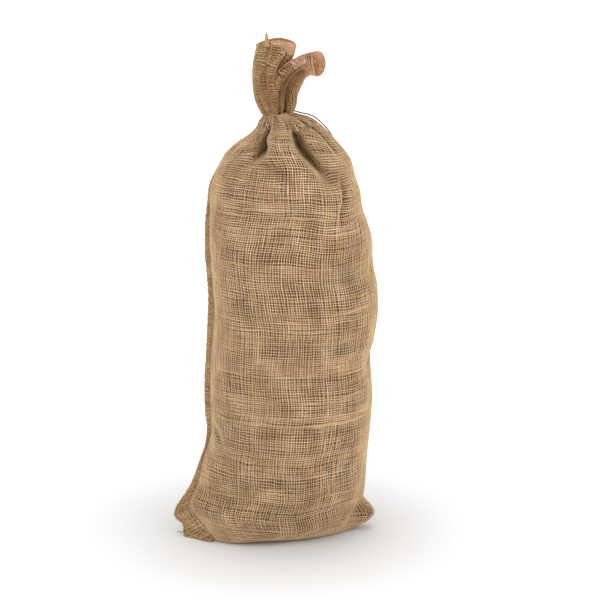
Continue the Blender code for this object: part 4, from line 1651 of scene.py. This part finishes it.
@dataclass
class MouthLobe:
    """One lobe of the open mouth above the tie: an open weave on a ply of matted fibre, painted dark as the
    shade between its yarns.

    Attributes:
        name: The lobe's name.
        warps: Number of warp yarns round it.
        seed: Seed of its yarns.
        rows: Its rings, from the tie to the mouth.
        rim: The uneven rim.
        pleats: The pleats that the tie draws in.
        roll: The first and last share of the way round that rolls over, and the radius.
        thin: The patches worn thin: their first and last share of the way round, and of the length.
        fade: How much paler its yarns are at the rim.
        ply_light_and_shade: How much lighter or darker the matted fibre is painted: painted light in the left
            lobe, painted shade in the right.
        ply_finish: The finish of the matted fibre.
        rim_from: The share of its length where the uneven rim starts to show.
        columns: Lattice points round it.
        rings: Rows of the lattice.
        bendings: How often the direction of its middle line is evened out along it.
        most_pressed: How far a pleat may press in, as a share of the way to the middle.
        ply_every: Every which column of the lattice the matted fibre takes.
        ply_fold_shade: How much darker the matted fibre is painted for each millimetre of depth in a fold:
            painted shade.
        roll_points: Points along the rolled rim.
        roll_sides: Points round it.
    """

    name: str
    warps: int
    seed: int
    rows: tuple[LobeRow, ...]
    rim: tuple[RimPoint, ...]
    pleats: tuple[Pleat, ...]
    roll: Triple
    thin: tuple[tuple[float, ...], ...] = ()
    fade: float = 0.0
    ply_light_and_shade: float = 0.0
    ply_finish: Finish = Finish.PLY
    rim_from: float = 0.6
    columns: int = 480
    rings: int = 110
    bendings: int = 8
    most_pressed: float = 0.8
    ply_every: int = 4
    ply_fold_shade: float = 0.3
    roll_points: int = 120
    roll_sides: int = 12

    def surface(self) -> ClothSurface:
        """The lobe as a lattice in metres, from the tie to its rim."""
        given = np.array(self.rows, dtype=float)
        travel = travelled(given[:, :3])
        places = np.linspace(0.0, travel[-1], self.rings)
        rows = smooth_line(travel, given, places)
        ahead = unit(np.gradient(rows[:, :3], axis=0))
        for _ in range(self.bendings):
            ahead[1:-1] = unit(ahead[:-2] + 2.0 * ahead[1:-1] + ahead[2:])
        across_way = unit(np.cross((0.0, 1.0, 0.0), ahead))
        deep_way = unit(np.cross(ahead, across_way))
        degrees = np.arange(0.0, 360.0, 0.5)
        angle = np.radians(degrees)
        rises = read_table(self.rim, degrees).rise
        lattice = []
        for i, share in enumerate(places / travel[-1]):
            wide = rows[i, 3] * np.cos(angle)
            thick = rows[i, 4] * np.sin(angle)
            radius = np.hypot(wide, thick)
            depth = self.pleated(share, degrees, radius)
            shrink = 1.0 - np.minimum(depth / radius, self.most_pressed)
            lift = max(0.0, (share - self.rim_from) / (1.0 - self.rim_from))
            ring = rows[i, :3] + across_way[i] * (wide * shrink)[:, None]
            ring = ring + deep_way[i] * (thick * shrink)[:, None] + ahead[i] * (lift * rises)[:, None]
            ring = np.column_stack([ring, np.maximum(depth, 0.0)])
            lattice.append(even_fractions(np.vstack([ring, ring[:1]]), self.columns + 1)[:-1])
        rings = np.array(lattice)
        return ClothSurface(rings[:, :, :3] * MM, rings[:, :, 3])

    def pleated(self, share: float, degrees: Array, radius: Array) -> Array:
        """How deep the pleats are at a share of the length.

        Args:
            share: Share of the length from the tie to the mouth.
            degrees: Angles round the lobe.
            radius: How far the cloth is from the middle line at those angles, in millimetres.

        Returns:
            The depths in millimetres.
        """
        depth = np.zeros(len(degrees))
        for pleat in self.pleats:
            part = (share - pleat.first) / (pleat.last - pleat.first)
            if 0.0 < part < 1.0:
                middle = pleat.angle + (pleat.angle_at_rim - pleat.angle) * share
                distance = np.radians((degrees - middle + 180.0) % 360.0 - 180.0) * radius
                depth += pleat.depth * math.sin(math.pi * part) * np.exp(-((distance / pleat.width) ** 2))
        return depth

    def wear_through(self, ply: Piece, layer: Array) -> None:
        """Take most of the matted fibre out of the thin patches, so that only the net of yarns is left there.

        Args:
            ply: The piece.
            layer: The lattice that it was made from.
        """
        rows, columns = layer.shape[:2]
        centres = (layer[:-1] + layer[1:]) / 2.0
        centres = (centres + np.roll(centres, -1, axis=1)) / 2.0
        work = bmesh.new()
        work.from_mesh(ply.data)
        for left, right, low, high in self.thin:
            draw = np.random.default_rng(WEAR_SEED)
            patch = centres[int(low * rows) : int(high * rows), int(left * columns) : int(right * columns)]
            patch = patch.reshape(-1, 3)
            patch = patch[draw.uniform(size=len(patch)) < WORN_SHARE]
            tree = KDTree(len(patch))
            for i, place in enumerate(patch):
                tree.insert(place, i)
            tree.balance()
            worn = [face for face in work.faces if tree.find(face.calc_center_median())[2] < WORN_NEAR * MM]
            bmesh.ops.delete(work, geom=worn, context="FACES")
        work.to_mesh(ply.data)
        work.free()

    def rolled_rim(self, surface: ClothSurface) -> Piece:
        """Make the part of the rim that rolls over on itself.

        Args:
            surface: The lobe's cloth.

        Returns:
            The piece.
        """
        first, last, size = self.roll
        number = np.arange(self.roll_points)
        across = np.linspace(first, last, self.roll_points)
        path, _ = surface.at(across, np.full(self.roll_points, surface.length), 0.3 * MM)
        swell = 0.25 + 0.75 * np.sin(math.pi * np.linspace(0.0, 1.0, self.roll_points)) ** 0.5
        radius = size * MM * swell
        radius *= 1.0 + 0.12 * np.sin(number * 0.9) * np.sin(number * 0.37)
        path[:, 2] -= radius * 0.6
        return lattice_piece(f"{self.name}_roll", tube_rings(path, radius, self.roll_sides), capped=True)

    def build(self) -> None:
        """Make the lobe: its yarns, the matted fibre under them and its rolled rim."""
        surface = self.surface()
        weave = Weave(
            surface,
            self.warps,
            YarnSet(self.seed, MOUTH_YARN_WIDTH, 0.15, 0.35, 0.25, 1),
            YarnSet(self.seed + 3, MOUTH_YARN_WIDTH, 0.18, 0.45, 0.4, 1),
            sway=0.8,
            sag=0.6,
            fray=0.8,
            fold_shade=0.4,
            fade=self.fade,
            weft_pitch=MOUTH_WEFT_PITCH,
        )
        yarns = [weave.warp_yarns(f"{self.name}_warps"), weave.weft_yarns(f"{self.name}_wefts")]
        yarns = dress(joined(f"{self.name}_yarns", yarns), Finish.MOUTH)
        layer = (surface.points - surface.normals * PLY_DEPTH * MM)[:, :: self.ply_every]
        # The ply is painted darker the deeper it lies in a fold: painted shade.
        fold_shade = np.minimum(surface.hollow[:, :: self.ply_every] * self.ply_fold_shade, MOST_FOLD_SHADE)
        ply = lattice_piece(self.name, layer, tones=self.ply_light_and_shade - fold_shade)
        if self.thin:
            self.wear_through(ply, layer)
        dress(ply, self.ply_finish)
        dress(self.rolled_rim(surface), Finish.MOUTH)


@dataclass
class Tuft:
    """The frayed tuft that stands up from the rim of the left lobe.

    Attributes:
        strands: Number of fibres.
        seed: Seed of their lean.
        foot: The tuft's middle at its foot.
        foot_spread: How far a fibre that leans lies from there, by x, y and z.
        tip: The middle at its tip.
        tip_spread: How far a fibre that leans lies from there.
        bow: How far a fibre bows, by x, y and z.
        taper: Shares of a fibre's length, and its radius at each.
        points: Points along a fibre.
        sides: Points round it.
    """

    strands: int = 9
    seed: int = 91
    foot: Triple = (-15.4, -15.0, 694.0)
    foot_spread: Triple = (3.2, 2.2, 0.0)
    tip: Triple = (-16.4, -14.0, 713.6)
    tip_spread: Triple = (0.5, 0.6, -6.0)
    bow: Triple = (0.5, 0.4, 0.0)
    taper: Curve = ((0.0, 0.5, 0.9, 1.0), (2.3, 1.7, 1.1, 0.5))
    points: int = 14
    sides: int = 6

    def build(self) -> None:
        """Make the tuft."""
        draw = np.random.default_rng(self.seed)
        share = np.linspace(0.0, 1.0, self.points)
        radius = np.interp(share, *self.taper) * MM
        made = []
        for i in range(self.strands):
            aside, back = draw.uniform(-1.0, 1.0, 2)
            lean = np.array([aside, back, abs(aside)])
            foot = self.foot + lean * self.foot_spread
            tip = self.tip + lean * self.tip_spread
            bowed = np.sin(share[:, None] * 5.0 + i) * self.bow
            path = foot + (tip - foot) * share[:, None] + bowed
            made.append(lattice_piece(f"tuft_{i}", tube_rings(path * MM, radius, self.sides), capped=True))
        dress(joined("mouth_tuft", made), Finish.MOUTH)


@dataclass
class Fuzz:
    """The short loose fibres that stand off the cloth.

    Attributes:
        fibres: Number of fibres.
        points: Points along each.
        seed: Seed of their places.
        lowest: Where the lowest start, as a share of the cloth's length.
        reach: Length of the shortest and of the longest.
        curl: How far a fibre turns along its length, in radians.
        height: How far the lowest and the highest stand off.
        arch: How far over their arch the straightest and the most bowed go, in radians.
        sunk: How far their roots lie in the yarns.
        width: Width of a fibre at its root.
        taper: How much narrower it is at its tip, as a share.
        rough_girth: The girth that their widths are shared over, in metres.
    """

    fibres: int = 1500
    points: int = 6
    seed: int = 131
    lowest: float = 0.06
    reach: Pair = (3.0, 9.0)
    curl: float = 1.2
    height: Pair = (0.9, 3.2)
    arch: Pair = (1.2, 3.0)
    sunk: float = 0.1
    width: float = 0.26
    taper: float = 0.6
    rough_girth: float = 0.63

    def build(self, surface: ClothSurface, girth: float) -> None:
        """Make the fibres.

        Args:
            surface: The body's cloth.
            girth: How far it is round that cloth, in millimetres.
        """
        draw = np.random.default_rng(self.seed)
        each = (self.fibres, 1)
        share = np.linspace(0.0, 1.0, self.points)[None, :]
        turn = draw.uniform(0.0, 2.0 * math.pi, each) + draw.normal(0.0, self.curl, each) * share
        reach = draw.uniform(*self.reach, each) * MM * share
        along = draw.uniform(self.lowest, 1.0, each) * surface.length + reach * np.sin(turn)
        across = draw.uniform(size=each) + reach * np.cos(turn) / (girth * MM)
        height = draw.uniform(*self.height, each)
        lift = (height * np.sin(share * draw.uniform(*self.arch, each)) - self.sunk) * MM
        sides = []
        for side in (-0.5, 0.5):
            thick = side * self.width * MM * (1.0 - self.taper * share)
            at_across = across - thick * np.sin(turn) / self.rough_girth
            sides.append(surface.at(at_across, along + thick * np.cos(turn), lift)[0])
        shape = (self.fibres, self.points, 2)
        tones = np.repeat(draw.uniform(0.0, 2.0, each), self.points * 2, axis=1).reshape(shape)
        piece = woven("body_fuzz", np.stack(sides, axis=2), tones, np.zeros((*shape, 2)))
        dress(piece, Finish.WARP)


@dataclass
class LooseThread:
    """The thread end that sticks out of the bottom corner.

    Attributes:
        route: Its way out of the seam, as x, y and z.
        radius: Its radius at the seam and at its end.
        points: Points along it.
        sides: Points round it.
    """

    route: tuple[Triple, ...] = (
        (-131, -34.5, 6.5),
        (-137, -35.5, 5.5),
        (-141, -36, 6.4),
        (-146, -36.5, 7),
    )
    radius: Pair = (0.8, 0.45)
    points: int = 14
    sides: int = 6

    def build(self) -> None:
        """Make the thread end."""
        radius = np.linspace(*self.radius, self.points) * MM
        rings = tube_rings(smooth_route(self.route, self.points), radius, self.sides)
        dress(lattice_piece("corner_thread", rings, capped=True), Finish.THREAD)


@dataclass
class Sack:
    """The whole sack: the filled body and its weave, the two lobes of its mouth, and its seam.

    Attributes:
        body: The filled body.
        warp: The body's warps.
        weft: Its wefts.
        shade_columns: Points round the shade layer.
        shade_row_step: Every which row of the body the shade layer takes.
        shade_foot_rows: How many rows over the underside it takes whole.
    """

    body: FilledBody = field(default_factory=FilledBody)
    warp: YarnSet = YarnSet(11, WARP_WIDTH, 0.13, 0.3, 0.25, 1)
    weft: YarnSet = YarnSet(23, WEFT_WIDTH, 0.13, 0.34, 0.35, 2)
    shade_columns: int = 240
    shade_row_step: int = 3
    shade_foot_rows: int = 8

    def build_body(self) -> None:
        """Make the filled body: the shade layer and the yarns over it."""
        surface = self.body.surface()
        layer = surface.points - surface.normals * SHADE_DEPTH * MM
        foot = np.arange(self.body.base_rows + self.shade_foot_rows)
        steps = np.arange(0, len(layer), self.shade_row_step)
        keep = np.unique(np.concatenate([foot, steps, [len(layer) - 1]]))
        layer = layer[keep][:, :: self.body.columns // self.shade_columns]
        shade = dress(lattice_piece("sack_body", layer, capped=True), Finish.SHADE)
        weave = Weave(
            surface,
            WARP_COUNT,
            self.warp,
            self.weft,
            sway=1.2,
            sag=0.9,
            warp_drift=WARP_DRIFT,
            droops=WEFT_DROOPS,
        )
        dress(weave.warp_yarns("body_warps"), Finish.WARP)
        dress(weave.weft_yarns("body_wefts"), Finish.WEFT)
        Fuzz().build(surface, self.body.girth)

    def build_mouth(self) -> None:
        """Make the two lobes of the mouth, and the tuft on the left one."""
        MouthLobe(
            "mouth_left_lobe",
            warps=60,
            seed=41,
            rows=LEFT_LOBE,
            rim=LEFT_RIM,
            pleats=LEFT_PLEATS,
            roll=(0.0, 0.47, 1.8),
            fade=0.8,
            # The left lobe's ply is painted paler: painted light inside its mouth.
            ply_light_and_shade=0.4,
            ply_finish=Finish.LIT_PLY,
        ).build()
        MouthLobe(
            "mouth_right_lobe",
            warps=48,
            seed=51,
            rows=RIGHT_LOBE,
            rim=RIGHT_RIM,
            pleats=RIGHT_PLEATS,
            roll=(0.0, 1.0, 0.8),
            thin=((0.42, 0.71, 0.69, 0.90), (0.14, 0.44, 0.62, 0.84)),
            fade=1.6,
            # The right lobe's ply is painted darker: painted shade.
            ply_light_and_shade=-2.2,
        ).build()
        Tuft().build()

    def build(self) -> None:
        """Make every piece of the cloth."""
        self.build_body()
        self.build_mouth()
        LooseThread().build()
        OverlockedSeam("side_seam", self.body, SIDE_SEAM).build()


class Softbox(NamedTuple):
    """A soft light: its name, its place and its side in metres, and its power in watts."""

    name: str
    place: Triple
    size: float
    power: float


@dataclass
class Studio:
    """The floor, the lights and the camera.

    Attributes:
        camera_place: Where the camera stands, in metres.
        camera_pitch: How far it looks down, in degrees.
        sensor: Width of its sensor.
        lens: Its focal length.
        lights: The soft lights, aimed at the middle of the sack.
        aim: That middle, in metres.
        floor_size: Side of the floor, in metres.
        floor_colour: How pale the floor is.
        glow: How strongly the floor glows far from the sack.
        glow_from: How far from the sack the glow starts, in metres.
        glow_full: How far from it the glow is full, in metres.
        world: Strength of the light from all round.
    """

    camera_place: Triple = (0.0286, -3.0, 1.15)
    camera_pitch: float = 15.1735
    sensor: float = 36.0
    lens: float = 133.88
    lights: tuple[Softbox, ...] = (
        Softbox("left softbox", (-2.4, -0.9, 0.75), 1.5, 4.0),
        Softbox("right softbox", (2.4, -0.7, 0.75), 1.5, 13.0),
        Softbox("front softbox", (-0.2, -2.8, 0.06), 1.2, 24.0),
        Softbox("top softbox", (0.0, 0.1, 2.6), 1.8, 27.0),
    )
    aim: Triple = (0.0, 0.0, 0.33)
    floor_size: float = 40.0
    floor_colour: float = 0.785
    glow: float = 0.79
    glow_from: float = 0.1
    glow_full: float = 0.8
    world: float = 0.68

    def build_camera(self) -> None:
        """Place the camera."""
        data = bpy.data.cameras.new("camera")
        data.sensor_width = self.sensor
        data.lens = self.lens
        camera = add_object("camera", data)
        camera.location = self.camera_place
        camera.rotation_euler = (math.radians(90.0 - self.camera_pitch), 0.0, 0.0)
        bpy.context.scene.camera = camera

    def build_lights(self) -> None:
        """Place the soft lights, and the light from all round."""
        for softbox in self.lights:
            data = bpy.data.lights.new(softbox.name, "AREA")
            data.size = softbox.size
            data.energy = softbox.power
            light = add_object(softbox.name, data)
            light.location = softbox.place
            way = Vector(self.aim) - Vector(softbox.place)
            light.rotation_euler = way.to_track_quat("-Z", "Y").to_euler()
        world = bpy.data.worlds.new("studio")
        world.use_nodes = True
        background = {"Color": WHITE, "Strength": self.world}
        fill_inputs(world.node_tree, world.node_tree.nodes["Background"], background)
        bpy.context.scene.world = world

    def paper(self) -> bpy.types.Material:
        """White paper that glows a little more with its distance, as a lit sweep does."""
        made = bpy.data.materials.new("white paper")
        made.use_nodes = True
        tree = made.node_tree
        place = tree.nodes.new("ShaderNodeTexCoord").outputs["Object"]
        length = tree.nodes.new("ShaderNodeVectorMath")
        length.operation = "LENGTH"
        fill_inputs(tree, length, {0: place})
        glow = {
            "Value": length.outputs["Value"],
            "From Min": self.glow_from,
            "From Max": self.glow_full,
            "To Min": 0.0,
            "To Max": self.glow,
        }
        glow = fill_inputs(tree, tree.nodes.new("ShaderNodeMapRange"), glow).outputs["Result"]
        colour = (self.floor_colour, self.floor_colour, self.floor_colour, 1.0)
        surface = {"Base Color": colour, "Roughness": 0.9, "Emission Color": WHITE, "Emission Strength": glow}
        fill_inputs(tree, tree.nodes["Principled BSDF"], surface)
        return made

    def build(self) -> None:
        """Make the floor and the lights."""
        floor = add_object("floor", grid_mesh("floor", 2, 2))
        floor.data.transform(Matrix.Scale(self.floor_size / 2.0, 4))
        floor.data.materials.append(self.paper())
        self.build_lights()
        bpy.context.scene.view_settings.view_transform = "Standard"


def main() -> None:
    """Build the camera, the cord, the tie, the sack and the studio, in that order."""
    logging.basicConfig(level=logging.INFO, format="%(name)s: %(message)s")
    log.info("frame nodes: %s", ", ".join(sorted(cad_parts)))
    studio = Studio()
    studio.build_camera()
    tie = Tie()
    tie.build_free_end()
    tie.build()
    Sack().build()
    studio.build()


if __name__ == "__main__":
    main()
